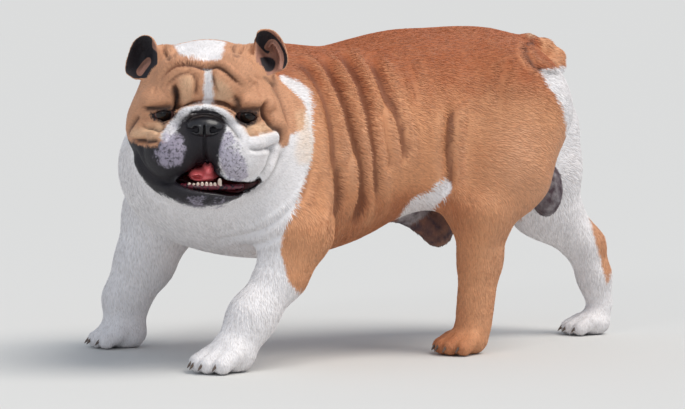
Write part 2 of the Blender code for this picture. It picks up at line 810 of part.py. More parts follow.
def build_head():
    """Head and jaw, with the nose, eyes, tongue and ears that they carry."""
    reach = np.array((0.175, 0.205, 0.150))
    skull = solid(
        "skull", dog_form, HEAD_PLACE - reach, HEAD_PLACE + reach, HEAD_STEP, HEAD_TRIANGLES
    )
    near = np.array((0.09, 0.09, 0.10))
    tongue = solid(
        "tongue", tongue_form, HEAD_PLACE - near, HEAD_PLACE + near, TONGUE_STEP, TONGUE_TRIANGLES
    )
    nose = solid("nose", nose_form, HEAD_PLACE - near, HEAD_PLACE + near, NOSE_STEP, NOSE_TRIANGLES)
    head = part_off(skull, "head", HEAD_BLOCK, [JAW_BLOCK])
    jaw = part_off(skull, "jaw", JAW_BLOCK, [])
    leave_room(head, tongue)
    leave_room(jaw, tongue)
    leave_room(head, nose)
    for name, side in (("left", 1), ("right", -1)):
        place = from_head(np.array(EYE) * (1, side, 1))
        round_ball("eye_" + name, place, EYE_RADIUS)
        cut(head, round_ball("socket", place, EYE_RADIUS + GAP), "DIFFERENCE")
        ear = ear_leaf("ear_" + name, side)
        leave_room(ear, skull)
        keep_largest(ear)
    keep_largest(head)
    fuse(jaw, teeth())
    keep_largest(jaw)
    bpy.data.objects.remove(skull)


def build_body():
    """Neck, torso and legs, parted from one smooth surface."""
    body = solid("body", dog_form, BODY_LOW, BODY_HIGH, BODY_STEP, BODY_TRIANGLES)
    front = (HEAD_BLOCK, JAW_BLOCK, NECK_BLOCK)
    part_off(body, "neck", NECK_BLOCK, front[:2])
    part_off(body, "torso", None, [*front, TAIL_BLOCK, *LEG_BLOCKS.values()])
    for name, leg_block in LEG_BLOCKS.items():
        part_off(body, "leg_" + name, leg_block, [PAW_BLOCKS[name], *front])
    bpy.data.objects.remove(body)


def build_tail():
    low, high = (-0.08, 0.34, 0.32), (0.08, 0.48, 0.44)
    rump = solid("rump", dog_form, low, high, TAIL_STEP, TAIL_TRIANGLES)
    part_off(rump, "tail", TAIL_BLOCK, [])
    bpy.data.objects.remove(rump)


def build_paws():
    """Each paw rests on the floor on the flats that its block's floor cuts, and carries claws."""
    for name, paw_block in PAW_BLOCKS.items():
        place = np.array(PAWS[name][0])
        low, high = place - (0.10, 0.11, 0.02), place + (0.10, 0.09, 0.09)
        foot = solid("foot", dog_form, low, high, PAW_STEP, PAW_TRIANGLES)
        paw = part_off(foot, "paw_" + name, paw_block, [])
        bpy.data.objects.remove(foot)
        fuse(paw, claws(*PAWS[name]))
        keep_largest(paw)


def main():
    for obj in list(bpy.data.objects):
        bpy.data.objects.remove(obj)
    build_head()
    build_body()
    build_tail()
    build_paws()
    for obj in bpy.data.objects:
        obj.data.transform(Matrix.Translation(-MIDDLE))
        paint(obj)


if __name__ == "__main__":
    main()
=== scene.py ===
"""A life-size English bulldog in its coat, standing in mid step with its head turned to its left."""
import math

import bmesh
import bpy
import numpy as np
from mathutils import Matrix, Vector
from mathutils.bvhtree import BVHTree


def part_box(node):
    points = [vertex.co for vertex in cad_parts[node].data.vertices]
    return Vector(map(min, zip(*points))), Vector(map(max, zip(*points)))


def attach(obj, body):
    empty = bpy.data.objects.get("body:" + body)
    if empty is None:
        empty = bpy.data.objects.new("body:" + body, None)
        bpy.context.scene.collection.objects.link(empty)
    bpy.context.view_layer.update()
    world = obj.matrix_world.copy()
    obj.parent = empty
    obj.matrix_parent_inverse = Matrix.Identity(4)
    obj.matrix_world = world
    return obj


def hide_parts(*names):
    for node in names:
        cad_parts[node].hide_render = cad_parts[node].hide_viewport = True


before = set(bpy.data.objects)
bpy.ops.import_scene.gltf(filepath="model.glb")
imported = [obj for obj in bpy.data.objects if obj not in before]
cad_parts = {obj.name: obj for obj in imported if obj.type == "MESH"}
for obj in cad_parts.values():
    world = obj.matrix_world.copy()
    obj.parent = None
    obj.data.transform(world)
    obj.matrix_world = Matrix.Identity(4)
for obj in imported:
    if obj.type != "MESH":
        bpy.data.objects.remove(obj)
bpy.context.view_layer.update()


# The view
# A long lens stands about four metres off the dog's left front, level with its back and tipped
# down a little, so that the head faces it and the trunk runs away to the right.

# The dog is drawn from the floor under its shoulders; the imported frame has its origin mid-length
MIDDLE = np.array((0.008, 0.171, 0.0))
STAND = np.array((3.853, -1.674, 0.461))
SIGHT_TURN = 25.0
SIGHT_DIP = 3.64
SIGHT_REACH = 4.2
PICTURE = (685.0, 409.0)
FOCAL = 3300.0

camera = bpy.data.objects.new("camera", bpy.data.cameras.new("camera"))
bpy.context.scene.collection.objects.link(camera)
bpy.context.scene.camera = camera
camera.data.sensor_width = 36.0
camera.data.lens = camera.data.sensor_width * FOCAL / PICTURE[0]
camera.data.clip_end = 100.0
camera.location = Vector(STAND - MIDDLE)
sight = Vector((
    -math.cos(math.radians(SIGHT_TURN)),
    math.sin(math.radians(SIGHT_TURN)),
    -math.tan(math.radians(SIGHT_DIP)),
))
camera.rotation_euler = sight.to_track_quat("-Z", "Y").to_euler()


# The floor and the light
# A wide sheet of pale matt board under one broad warm key light, which stands over the dog's
# back on the view's right. An even pale room fills the shade, and a small soft box lights the eyes.

FLOOR_SIZE = 60.0
FLOOR_COLOUR = (0.64, 0.64, 0.63)
ROOM_COLOUR = (0.80, 0.88, 1.0)
ROOM_LIGHT = 0.54
KEY_FROM = (0.46, 0.40, 1.0)
KEY_STRENGTH = 2.5
KEY_SPREAD = 42.0
KEY_COLOUR = (1.0, 0.95, 0.88)
EYE_BOX = ((2.4, -2.9, 1.7), 14.0, 0.50)

floor_mesh = bpy.data.meshes.new("floor")
half = FLOOR_SIZE / 2
floor_mesh.from_pydata(
    [(-half, -half, 0), (half, -half, 0), (half, half, 0), (-half, half, 0)], [], [(0, 1, 2, 3)]
)
floor = bpy.data.objects.new("floor", floor_mesh)
bpy.context.scene.collection.objects.link(floor)
floor_finish = bpy.data.materials.new("floor board")
floor_finish.use_nodes = True
floor_shader = floor_finish.node_tree.nodes["Principled BSDF"]
floor_shader.inputs["Base Color"].default_value = (*FLOOR_COLOUR, 1.0)
floor_shader.inputs["Roughness"].default_value = 0.95
floor_shader.inputs["Specular IOR Level"].default_value = 0.0
floor_mesh.materials.append(floor_finish)

key = bpy.data.objects.new("key light", bpy.data.lights.new("key light", "SUN"))
bpy.context.scene.collection.objects.link(key)
key.data.energy = KEY_STRENGTH
key.data.angle = math.radians(KEY_SPREAD)
key.data.color = KEY_COLOUR
key.rotation_euler = Vector(KEY_FROM).to_track_quat("Z", "Y").to_euler()
box_place, box_power, box_width = EYE_BOX
box = bpy.data.objects.new("soft box", bpy.data.lights.new("soft box", "AREA"))
bpy.context.scene.collection.objects.link(box)
box.data.energy = box_power
box.data.size = box_width
box.location = box_place
box.rotation_euler = (Vector((0, 0, 0.2)) - box.location).to_track_quat("-Z", "Y").to_euler()

room = bpy.data.worlds.new("room")
bpy.context.scene.world = room
room.use_nodes = True
room_light = room.node_tree.nodes["Background"]
room_light.inputs["Color"].default_value = (*ROOM_COLOUR, 1.0)
room_light.inputs["Strength"].default_value = ROOM_LIGHT
# Past the floor's far edge the room looks like the lit floor, so that no line shows between them
on_floor = KEY_STRENGTH * Vector(KEY_FROM).normalized().z / math.pi
far_wall = room.node_tree.nodes.new("ShaderNodeBackground")
far_wall.inputs["Color"].default_value = [
    board * (ROOM_LIGHT * a + on_floor * b) for board, a, b in zip(FLOOR_COLOUR, ROOM_COLOUR, KEY_COLOUR)
] + [1.0]
far_wall.inputs["Strength"].default_value = 1.0
ray = room.node_tree.nodes.new("ShaderNodeLightPath")
either = room.node_tree.nodes.new("ShaderNodeMixShader")
for start, end in (
    (ray.outputs["Is Camera Ray"], either.inputs[0]),
    (room_light.outputs[0], either.inputs[1]),
    (far_wall.outputs[0], either.inputs[2]),
    (either.outputs[0], room.node_tree.nodes["World Output"].inputs["Surface"]),
):
    room.node_tree.links.new(start, end)
bpy.context.scene.view_settings.view_transform = "Standard"


# The trunk, neck and legs
# Flesh over bone, under one loose skin: a deep chest slung between wide shoulders, a short neck,
# a narrower loin that rises over the hips, heavy upper arms and thighs, and small round paws.
# Each is a rounded form that melts into the next, drawn at the outside of the coat.

TRUNK = (
    ((0.010, -0.040, 0.244), (0.142, 0.142, 0.111)),
    ((0.004, 0.055, 0.255), (0.150, 0.150, 0.126)),
    ((-0.006, 0.150, 0.286), (0.128, 0.140, 0.110)),
    ((-0.008, 0.240, 0.320), (0.108, 0.130, 0.098)),
    ((-0.004, 0.335, 0.321), (0.092, 0.100, 0.094)),
)
TRUNK_MELT = 0.05
NECK_BACK = (0.02, 0.0, 0.286)
NECK_FRONT = (0.096, -0.098, 0.282)
NECK_RADII = (0.110, 0.094)
# Each leg is a chain of joints, each with its place and its radius
FRONT_LEGS = {
    "left": (
        ((0.108, -0.030, 0.250), 0.064),
        ((0.142, -0.008, 0.170), 0.045),
        ((0.144, -0.026, 0.118), 0.0305),
        ((0.150, -0.070, 0.066), 0.0285),
        ((0.153, -0.092, 0.032), 0.0265),
    ),
    "right": (
        ((-0.112, -0.060, 0.245), 0.062),
        ((-0.160, -0.064, 0.172), 0.050),
        ((-0.166, -0.086, 0.112), 0.038),
        ((-0.171, -0.110, 0.064), 0.0290),
        ((-0.171, -0.114, 0.032), 0.0265),
    ),
}
HIND_LEGS = {
    "left": (
        ((0.062, 0.335, 0.310), 0.082),
        ((0.090, 0.305, 0.235), 0.064),
        ((0.104, 0.271, 0.186), 0.042),
        ((0.094, 0.274, 0.122), 0.0275),
        ((0.092, 0.266, 0.040), 0.0250),
    ),
    "right": (
        ((-0.060, 0.355, 0.310), 0.084),
        ((-0.062, 0.418, 0.272), 0.076),
        ((-0.066, 0.440, 0.222), 0.062),
        ((-0.070, 0.456, 0.178), 0.046),
        ((-0.058, 0.513, 0.121), 0.026),
        ((-0.056, 0.526, 0.080), 0.0220),
        ((-0.056, 0.535, 0.040), 0.0190),
    ),
}
# Each paw: the middle of its sole, the way it points in degrees, and how big it is
PAWS = {
    "front_left": ((0.152, -0.105, 0.0), 14.0, 1.00),
    "front_right": ((-0.170, -0.117, 0.0), -12.0, 0.97),
    "hind_left": ((0.092, 0.254, 0.0), 14.0, 0.92),
    "hind_right": ((-0.056, 0.520, 0.0), -8.0, 0.88),
}
TOES = (-1.5, -0.5, 0.5, 1.5)
TAIL = (
    ((0.000, 0.366, 0.382), 0.027),
    ((-0.002, 0.392, 0.391), 0.019),
    ((-0.004, 0.418, 0.389), 0.015),
    ((0.000, 0.433, 0.377), 0.0145),
    ((0.010, 0.429, 0.366), 0.013),
    ((0.020, 0.412, 0.364), 0.012),
    ((0.022, 0.398, 0.374), 0.010),
)
FLANK = (((0.056, 0.195, 0.228), 0.036), ((0.084, 0.262, 0.210), 0.032))
# The sheath, and a web of flesh from it to the groin, as joints with their radii; both are darkened with painted shade
SHEATH = (((0.000, 0.190, 0.196), 0.018), ((0.000, 0.260, 0.151), 0.019), ((0.000, 0.286, 0.205), 0.027))
SCROTUM = ((0.004, 0.419, 0.203), (0.023, 0.024, 0.038))
CLEFT = (((0.002, 0.478, 0.335), 0.010), ((0.002, 0.462, 0.255), 0.016), ((0.004, 0.430, 0.150), 0.030))
CLEFT_MELT = 0.030
COAT_DEPTH = 0.0018


def joined(a, b, melt):
    """The union of two forms, with the crease between them filled over the distance melt."""
    share = np.clip(0.5 + 0.5 * (b - a) / melt, 0.0, 1.0)
    return b + (a - b) * share - melt * share * (1.0 - share)


def carved(a, b, melt):
    """Form a with form b taken out, and the edge rounded over the distance melt."""
    return -joined(-a, b, melt)


def ball(p, centre, radii):
    """Distance to an ellipsoid, close to exact near its surface."""
    q = (p - np.asarray(centre)) / np.asarray(radii)
    reach = np.linalg.norm(q, axis=1)
    slope = np.linalg.norm(q / np.asarray(radii), axis=1) + 1e-9
    return reach * (reach - 1.0) / slope


def limb(p, start, end, start_radius, end_radius):
    """Distance to a rounded cone between two points."""
    start, end = np.asarray(start, float), np.asarray(end, float)
    along = end - start
    t = np.clip((p - start) @ along / (along @ along), 0.0, 1.0)
    gap = p - start - t[:, None] * along
    return np.linalg.norm(gap, axis=1) - (start_radius + (end_radius - start_radius) * t)


def chain(p, joints, melt):
    """A limb through several joints, each with its own radius."""
    form = limb(p, joints[0][0], joints[1][0], joints[0][1], joints[1][1])
    for (start, start_radius), (end, end_radius) in zip(joints[1:], joints[2:]):
        form = joined(form, limb(p, start, end, start_radius, end_radius), melt)
    return form


def axes_of(turn, nod, tilt):
    """Rows: a form's forward, left and up directions. Turn is from -Y towards +X, in degrees."""
    yaw = Matrix.Rotation(math.radians(turn), 3, "Z")
    pitch = Matrix.Rotation(math.radians(nod), 3, "X")
    roll = Matrix.Rotation(math.radians(tilt), 3, "Y")
    spin = np.array(yaw @ pitch @ roll)
    return np.stack((spin @ (0, -1, 0), spin @ (1, 0, 0), spin @ (0, 0, 1)))


def toe_tip(across):
    """The end of a toe in its paw's frame; across counts from the paw's middle line."""
    return np.array((0.034 - 0.009 * (abs(across) - 0.5), 0.0165 * across, 0.0115))


def paw_form(p, place, point, size):
    """Four arched toes in a fan, before one pad, with a furrow between each pair."""
    q = (p - np.asarray(place)) @ axes_of(point, 0.0, 0.0).T / size
    form = ball(q, (-0.004, 0.0, 0.018), (0.029, 0.029, 0.022))
    for across in TOES:
        tip = toe_tip(across)
        knuckle = tip + (-0.018, -0.0015 * across, 0.0095)
        form = joined(form, limb(q, knuckle, tip, 0.0125, 0.0125), 0.004)
    return form * size


def leg_form(p, side):
    """One side's front and hind leg, with the fold of skin from belly to thigh."""
    out = 1 if side == "left" else -1
    front = joined(chain(p, FRONT_LEGS[side], 0.02), paw_form(p, *PAWS["front_" + side]), 0.018)
    hind = joined(chain(p, HIND_LEGS[side], 0.018), chain(p * (out, 1, 1), FLANK, 0.01), 0.03)
    return front, joined(hind, paw_form(p, *PAWS["hind_" + side]), 0.014)


def body_form(p):
    """The dog behind its head."""
    form = ball(p, *TRUNK[0])
    for centre, radii in TRUNK[1:]:
        form = joined(form, ball(p, centre, radii), TRUNK_MELT)
    form = joined(form, chain(p, SHEATH, 0.01), 0.03)
    form = joined(form, limb(p, NECK_BACK, NECK_FRONT, *NECK_RADII), 0.05)
    for side in ("left", "right"):
        for leg in leg_form(p, side):
            form = joined(form, leg, 0.035)
    form = carved(form, chain(p, CLEFT, 0.01), CLEFT_MELT)
    form = joined(form, ball(p, *SCROTUM), 0.007)
    return joined(form, chain(p, TAIL, 0.006), 0.010)


# The head
# A broad skull under slack skin: cushioned cheeks, a short pushed-in muzzle between two hanging
# flews, a roll of skin arched over the nose, an undershot jaw, and small thin folded ears.
# It has its own frame, which measures forward, to the dog's left and up from midway between the
# eyes. Outlines are given as the sitter's face is seen from in front: to the side, and up.

HEAD_PLACE = np.array((0.177, -0.142, 0.3150))
HEAD_AXES = axes_of(65.0, 6.0, 1.5)
NOD_SLOPE = math.tan(math.radians(6.0))
SKULL = ((-0.088, 0.0, 0.026), (0.085, 0.076, 0.057))
# Each rounded form of the skull and lower face: centre, half sizes, and how far it melts in
SKULL_FORMS = (
    ((-0.085, 0.045, 0.028), (0.056, 0.037, 0.042), 0.016),
    ((-0.030, 0.028, 0.038), (0.032, 0.036, 0.036), 0.014),
    ((-0.062, 0.060, -0.022), (0.058, 0.041, 0.050), 0.024),
    ((-0.026, 0.052, 0.016), (0.026, 0.032, 0.018), 0.010),
    ((-0.026, 0.060, -0.025), (0.031, 0.031, 0.018), 0.008),
    ((-0.026, 0.050, -0.057), (0.042, 0.038, 0.037), 0.012),
    ((0.010, 0.0, -0.088), (0.039, 0.050, 0.022), 0.014),
    ((-0.045, 0.0, -0.082), (0.072, 0.068, 0.038), 0.026),
)
EYE = (-0.0120, 0.050, 0.0)
EYE_RADIUS = 0.0135
LID_RADIUS = 0.0172
MUZZLE = ((-0.006, 0.0, -0.022), (0.037, 0.054, 0.035))
FLEWS = ((0.004, 0.0395, -0.042), (0.040, 0.0350, 0.036))
NOSE_ROLL = (
    (0.022, 0.0, 0.0120),
    (0.019, 0.021, 0.0090),
    (0.014, 0.036, 0.000),
    (0.008, 0.048, -0.015),
    (0.003, 0.055, -0.030),
)
NOSE_ROLL_RADIUS = 0.0070
NOSE = ((0.018, 0.0, -0.0105), (0.018, 0.0235, 0.0140))
# The openings between the lids and between the lips, seen from in front
EYE_OPENINGS = (
    (
        (-0.0630, -0.0008), (-0.0575, 0.0028), (-0.0500, 0.0046), (-0.0430, 0.0042),
        (-0.0385, 0.0004), (-0.0430, -0.0042), (-0.0510, -0.0062), (-0.0585, -0.0040),
    ),
    (
        (0.0380, -0.0002), (0.0420, 0.0036), (0.0490, 0.0047), (0.0565, 0.0038),
        (0.0612, 0.0004), (0.0575, -0.0034), (0.0515, -0.0062), (0.0440, -0.0048),
    ),
)
MOUTH_OPENING = (
    (0.0030, -0.0570), (0.0080, -0.0620), (0.0120, -0.0690), (0.0190, -0.0745), (0.0290, -0.0785),
    (0.0420, -0.0805), (0.0550, -0.0812), (0.0660, -0.0785), (0.0600, -0.0845), (0.0500, -0.0895),
    (0.0410, -0.0935), (0.0300, -0.0930), (0.0180, -0.0905), (0.0000, -0.0885), (-0.0130, -0.0865),
    (-0.0230, -0.0835), (-0.0310, -0.0790), (-0.0240, -0.0725), (-0.0150, -0.0665), (-0.0060, -0.0600),
)
MOUTH_BACK = -0.010
# An ear's free edge, round from the front of its root: forward, side and up
EAR_RIMS = {
    "left": (
        (-0.060, 0.0590, 0.056), (-0.061, 0.0565, 0.074), (-0.063, 0.0565, 0.088),
        (-0.066, 0.0610, 0.0970), (-0.070, 0.0700, 0.0985), (-0.073, 0.0800, 0.0950),
        (-0.074, 0.0885, 0.0850), (-0.071, 0.0945, 0.0715), (-0.066, 0.0960, 0.0600),
        (-0.062, 0.0920, 0.0520), (-0.062, 0.0840, 0.0480), (-0.062, 0.0760, 0.0440),
        (-0.060, 0.0650, 0.0470),
    ),
    "right": (
        (-0.056, -0.0630, 0.048), (-0.055, -0.0620, 0.066), (-0.058, -0.0655, 0.080),
        (-0.066, -0.0730, 0.0865), (-0.075, -0.0830, 0.0855), (-0.080, -0.0920, 0.0780),
        (-0.079, -0.0975, 0.0660), (-0.075, -0.1010, 0.0520), (-0.070, -0.1010, 0.0420),
        (-0.066, -0.0960, 0.0380), (-0.062, -0.0880, 0.0345), (-0.060, -0.0780, 0.0370),
        (-0.057, -0.0690, 0.0400),
    ),
}
EAR_DEEPS = {"left": (-0.090, 0.0700, 0.062), "right": (-0.088, -0.0770, 0.053)}
EAR_THICK = 0.0022
# The ridge inside each ear, behind the opening of its canal
EAR_RIDGES = {
    "left": ((-0.071, 0.0720, 0.075), (-0.068, 0.0770, 0.0810), (-0.066, 0.0830, 0.074),
             (-0.063, 0.0870, 0.064), (-0.061, 0.0865, 0.053)),
    "right": ((-0.068, -0.0740, 0.054), (-0.066, -0.0790, 0.049), (-0.064, -0.0840, 0.042)),
}
EAR_RIDGE_RADIUS = 0.0030
# The slack fold of scalp before each ear, as its two ends with their radii
SCALP_FOLDS = (
    (((-0.064, 0.0310, 0.0690), 0.0100), ((-0.072, 0.0520, 0.0770), 0.0055)),
    (((-0.064, -0.0420, 0.0670), 0.0110), ((-0.064, -0.0570, 0.0680), 0.0110)),
)
EAR_RINGS = 4


def smooth_path(points, pieces=5):
    """A curve through a few points, as many short runs (the Catmull-Rom rule)."""
    points = np.asarray(points, float)
    held = np.vstack((2 * points[0] - points[1], points, 2 * points[-1] - points[-2]))
    found = []
    for a, b, c, d in zip(held, held[1:], held[2:], held[3:]):
        for t in np.arange(pieces) / pieces:
            found.append(
                b + 0.5 * t * (c - a + t * (2 * a - 5 * b + 4 * c - d + t * (3 * (b - c) + d - a)))
            )
    return np.array(found + [points[-1]])


def path_distance(q, path):
    """Distance from each point to a curve, in two or three dimensions."""
    nearest = np.full(len(q), 1.0)
    for start, end in zip(path, path[1:]):
        along = end - start
        t = np.clip((q - start) @ along / (along @ along), 0.0, 1.0)
        nearest = np.minimum(nearest, np.linalg.norm(q - start - t[:, None] * along, axis=1))
    return nearest


def within(q, outline):
    """How far inside a closed outline each point lies; less than nothing outside it."""
    outline = np.asarray(outline, float)
    nearest = np.full(len(q), 1.0)
    crossings = np.zeros(len(q), bool)
    for start, end in zip(outline, np.roll(outline, -1, axis=0)):
        along = end - start
        t = np.clip((q - start) @ along / (along @ along), 0.0, 1.0)
        nearest = np.minimum(nearest, np.linalg.norm(q - start - t[:, None] * along, axis=1))
        passes = (q[:, 1] < start[1]) != (q[:, 1] < end[1])
        if end[1] != start[1]:
            reach = start[0] + (q[:, 1] - start[1]) * along[0] / along[1]
            crossings ^= passes & (q[:, 0] < reach)
    return np.where(crossings, nearest, -nearest)


def ear_sheet(side):
    """The middle layer of an ear's leather: rings that shrink from the rim to a deep point."""
    rim = np.array(EAR_RIMS[side])
    rim = smooth_path(np.vstack((rim, rim[:1])), pieces=3)[:-1]
    deep, middle, count = np.array(EAR_DEEPS[side]), rim.mean(axis=0), len(rim)
    places, faces = [], []
    for ring in range(EAR_RINGS):
        share = 1.0 - ring / EAR_RINGS
        places.extend(middle + (rim - middle) * share + (deep - middle) * (1.0 - share**2.2))
    places.append(deep)
    for ring in range(EAR_RINGS):
        for i in range(count):
            a, b = ring * count + i, ring * count + (i + 1) % count
            if ring < EAR_RINGS - 1:
                faces.append((a, b, b + count, a + count))
            else:
                faces.append((a, b, EAR_RINGS * count))
    return BVHTree.FromPolygons([tuple(place) for place in places], faces), rim


EARS = {side: ear_sheet(side) for side in EAR_RIMS}


def ridge_form(q, side):
    """Distance to the ridge inside an ear, a low wall that stands out of the ear's hollow."""
    flat = np.array((0.22, 1.0, 1.0))
    return path_distance((q + (0.013, 0.0, 0.0)) * flat, smooth_path(EAR_RIDGES[side]) * flat) - EAR_RIDGE_RADIUS


def ear_form(q, side):
    """Distance to one ear, which is a thin rounded sheet."""
    tree, rim = EARS[side]
    form = np.full(len(q), 0.05)
    low, high = rim.min(axis=0) - (0.04, 0.015, 0.015), rim.max(axis=0) + (0.015, 0.015, 0.015)
    for i in np.nonzero(np.all((q > low) & (q < high), axis=1))[0]:
        form[i] = tree.find_nearest(q[i])[3] - 0.5 * EAR_THICK - COAT_DEPTH
    return joined(form, ridge_form(q, side), 0.007)


def in_head_frame(p):
    return (p - HEAD_PLACE) @ HEAD_AXES.T


def faced(q):
    """Points of the head's frame as the face is seen from in front: to the side, and up."""
    return np.stack((q[:, 1], q[:, 2] - NOD_SLOPE * q[:, 0]), axis=1)


def head_form(p):
    """The head, with the openings of its lids and mouth."""
    q = in_head_frame(p)
    m = q.copy()
    m[:, 1] = np.abs(m[:, 1])
    form = ball(m, *SKULL)
    for centre, radii, melt in SKULL_FORMS:
        form = joined(form, ball(m, centre, radii), melt)
    form = joined(form, ball(m, EYE, (LID_RADIUS,) * 3), 0.008)
    muzzle = joined(ball(m, *MUZZLE), ball(m, *FLEWS), 0.010)
    muzzle = joined(muzzle, path_distance(m, smooth_path(NOSE_ROLL)) - NOSE_ROLL_RADIUS, 0.004)
    form = joined(form, muzzle, 0.0045)
    for (inner, inner_radius), (outer, outer_radius) in SCALP_FOLDS:
        form = joined(form, limb(q, inner, outer, inner_radius, outer_radius), 0.009)
    for side in EARS:
        form = joined(form, ear_form(q, side), 0.006)
    front = faced(q)
    for opening in EYE_OPENINGS:
        hole = np.maximum(-within(front, opening), -0.006 - q[:, 0])
        form = carved(form, hole, 0.002)
    hole = np.maximum(-within(front, MOUTH_OPENING), MOUTH_BACK - q[:, 0])
    return carved(form, hole, 0.004)


def dog_form(p):
    """The whole dog at its skin, standing on the floor."""
    form = body_form(p)
    near = np.linalg.norm(p - HEAD_PLACE, axis=1) < 0.24
    form[near] = joined(form[near], head_form(p[near]), 0.012)
    return -joined(-form - COAT_DEPTH, p[:, 2] - 0.0006, 0.003)


# The skin
# One skin covers the dog from nose to tail and down to its pads, so no seam shows anywhere. It is
# drawn where its forms end, finer where the shape is: over the paws, then the head, then the face.

SKIN_STEP = 0.0062
SKIN_LOW = (-0.245, -0.290, -0.0112)
SKIN_HIGH = (0.280, 0.590, 0.450)


def fine_places(p):
    """Where the skin's lattice is halved once: head, neck, paws and tail."""
    head = np.linalg.norm(p - (0.150, -0.120, 0.300), axis=1) < 0.165
    head |= (np.abs(p[:, 1] - 0.035) < 0.105) & (p[:, 0] > 0.050) & (p[:, 2] > 0.190)
    tail = np.linalg.norm(p - (0.0, 0.410, 0.380), axis=1) < 0.060
    return head | tail | (p[:, 2] < 0.058)


def finest_places(p):
    """Where it is halved again: the face and the ears."""
    q = in_head_frame(p)
    face = (q[:, 0] > -0.030) & (q[:, 2] < 0.024) & (q[:, 2] > -0.108) & (np.abs(q[:, 1]) < 0.085)
    ear = (q[:, 2] > 0.028) & (np.abs(q[:, 1]) > 0.058) & (q[:, 0] > -0.096)
    return face | ear


def near_values(form, low, step, start, size, guess, reach):
    """The form on a lattice: exact where a first guess is within reach, and the guess beyond."""
    close = np.argwhere(np.abs(guess) < reach)
    guess[tuple(close.T)] = form(low + step * (close + start))
    return guess


def surface(form, low, high, step, finer):
    """The zero surface of a form as places and faces. Cells that it crosses hold one corner each,
    and a face joins the cells round each lattice edge that it crosses. Each function in finer
    says where cells are halved once more."""
    low = np.asarray(low, float)
    size = np.ceil((np.asarray(high) - low) / step).astype(int) + 1
    size += -(size - 1) % 4
    coarse = [np.arange(0, n, 4) for n in size]
    spots = np.stack(np.meshgrid(*coarse, indexing="ij"), -1).reshape(-1, 3)
    rough = form(low + step * spots).reshape([len(c) for c in coarse])
    nearest = [np.minimum((np.arange(n) + 2) // 4, len(c) - 1) for n, c in zip(size, coarse)]
    start = np.zeros(3, int)
    values = near_values(form, low, step, start, size, rough[np.ix_(*nearest)].copy(), 8.0 * step)
    exists = np.ones(size - 1, bool)
    levels = []
    for rule in [*finer, None]:
        split = np.zeros_like(exists)
        if rule:
            here = np.argwhere(exists & (np.abs(values[:-1, :-1, :-1]) < 3.0 * step))
            chosen = here[rule(low + step * (here + start + 0.5))]
            split[tuple(chosen.T)] = True
            if levels:
                for axis in range(3):
                    held = exists.copy()
                    for shift in (1, -1):
                        held &= np.roll(exists, shift, axis)
                    split &= held
        levels.append((step, start, values, exists, split))
        if not rule:
            break
        found = np.argwhere(split)
        first, last = found.min(axis=0), found.max(axis=0)
        inner = [slice(a, b + 1) for a, b in zip(first, last)]
        double = np.repeat(np.repeat(np.repeat(split[tuple(inner)], 2, 0), 2, 1), 2, 2)
        start, size, step = 2 * (start + first), np.array(double.shape) + 1, step / 2
        pick = [np.minimum((np.arange(n) + 1) // 2 + f, v - 1)
                for n, f, v in zip(size, first, values.shape)]
        guess = values[np.ix_(*pick)].copy()
        wanted = np.zeros(size, bool)
        for corner in np.ndindex(2, 2, 2):
            window = tuple(slice(c, c + n) for c, n in zip(corner, double.shape))
            wanted[window] |= double
        spots = np.argwhere(wanted)
        guess[wanted] = form(low + step * (spots + start))
        values, exists = guess, double
    keys, faces, crossings = [], [], []
    for number, (step, start, values, exists, split) in enumerate(levels):
        inside = values < 0
        for axis in range(3):
            one, two = (axis + 1) % 3, (axis + 2) % 3
            ahead, behind = [slice(None)] * 3, [slice(None)] * 3
            ahead[axis], behind[axis] = slice(1, None), slice(None, -1)
            edges = np.argwhere(inside[tuple(behind)] != inside[tuple(ahead)])
            limits = np.array(exists.shape)
            kept = (edges[:, one] > 0) & (edges[:, two] > 0)
            kept &= (edges[:, one] < limits[one]) & (edges[:, two] < limits[two])
            edges = edges[kept]
            cells, mine, divided = [], np.zeros(len(edges), bool), np.zeros(len(edges), bool)
            for back_one, back_two in ((1, 1), (0, 1), (0, 0), (1, 0)):
                cell = edges.copy()
                cell[:, one] -= back_one
                cell[:, two] -= back_two
                here = exists[tuple(cell.T)]
                mine |= here
                divided |= here & split[tuple(cell.T)]
                place = cell + start
                level = np.where(here, number, number - 1)
                place = np.where(here[:, None], place, place // 2)
                cells.append(((level * 4096 + place[:, 0]) * 4096 + place[:, 1]) * 4096 + place[:, 2])
            good = mine & ~divided
            edges, ring = edges[good], np.stack(cells, -1)[good]
            first = values[tuple(edges.T)]
            ends = edges.copy()
            ends[:, axis] += 1
            second = values[tuple(ends.T)]
            spots = (edges + start).astype(float)
            spots[:, axis] += first / (first - second)
            outward = inside[tuple(edges.T)]
            keys.append(ring)
            faces.append(np.where(outward[:, None], ring, ring[:, ::-1]))
            crossings.append(low + step * spots)
    keys, faces, crossings = np.concatenate(keys), np.concatenate(faces), np.concatenate(crossings)
    names, numbers = np.unique(keys, return_inverse=True)
    numbers = numbers.reshape(keys.shape)
    hits = np.bincount(numbers.ravel(), minlength=len(names)).astype(float)
    places = np.stack([
        np.bincount(numbers.ravel(), np.repeat(crossings[:, i], 4), len(names)) / hits
        for i in range(3)
    ], axis=1)
    return places, np.searchsorted(names, faces)


def slope_of(form, p, value, tiny=0.0003):
    """The direction in which a form grows at each point, and how fast."""
    return np.stack([(form(p + tiny * np.eye(3)[i]) - value) / tiny for i in range(3)], axis=1)


def settled(form, places, reach):
    """Places moved onto the form's zero surface, none by more than reach."""
    value = form(places)
    slope = slope_of(form, places, value)
    step = -value[:, None] * slope / (np.sum(slope**2, axis=1)[:, None] + 1e-6)
    length = np.linalg.norm(step, axis=1)[:, None]
    return places + step * np.minimum(1.0, reach / np.maximum(length, 1e-9))


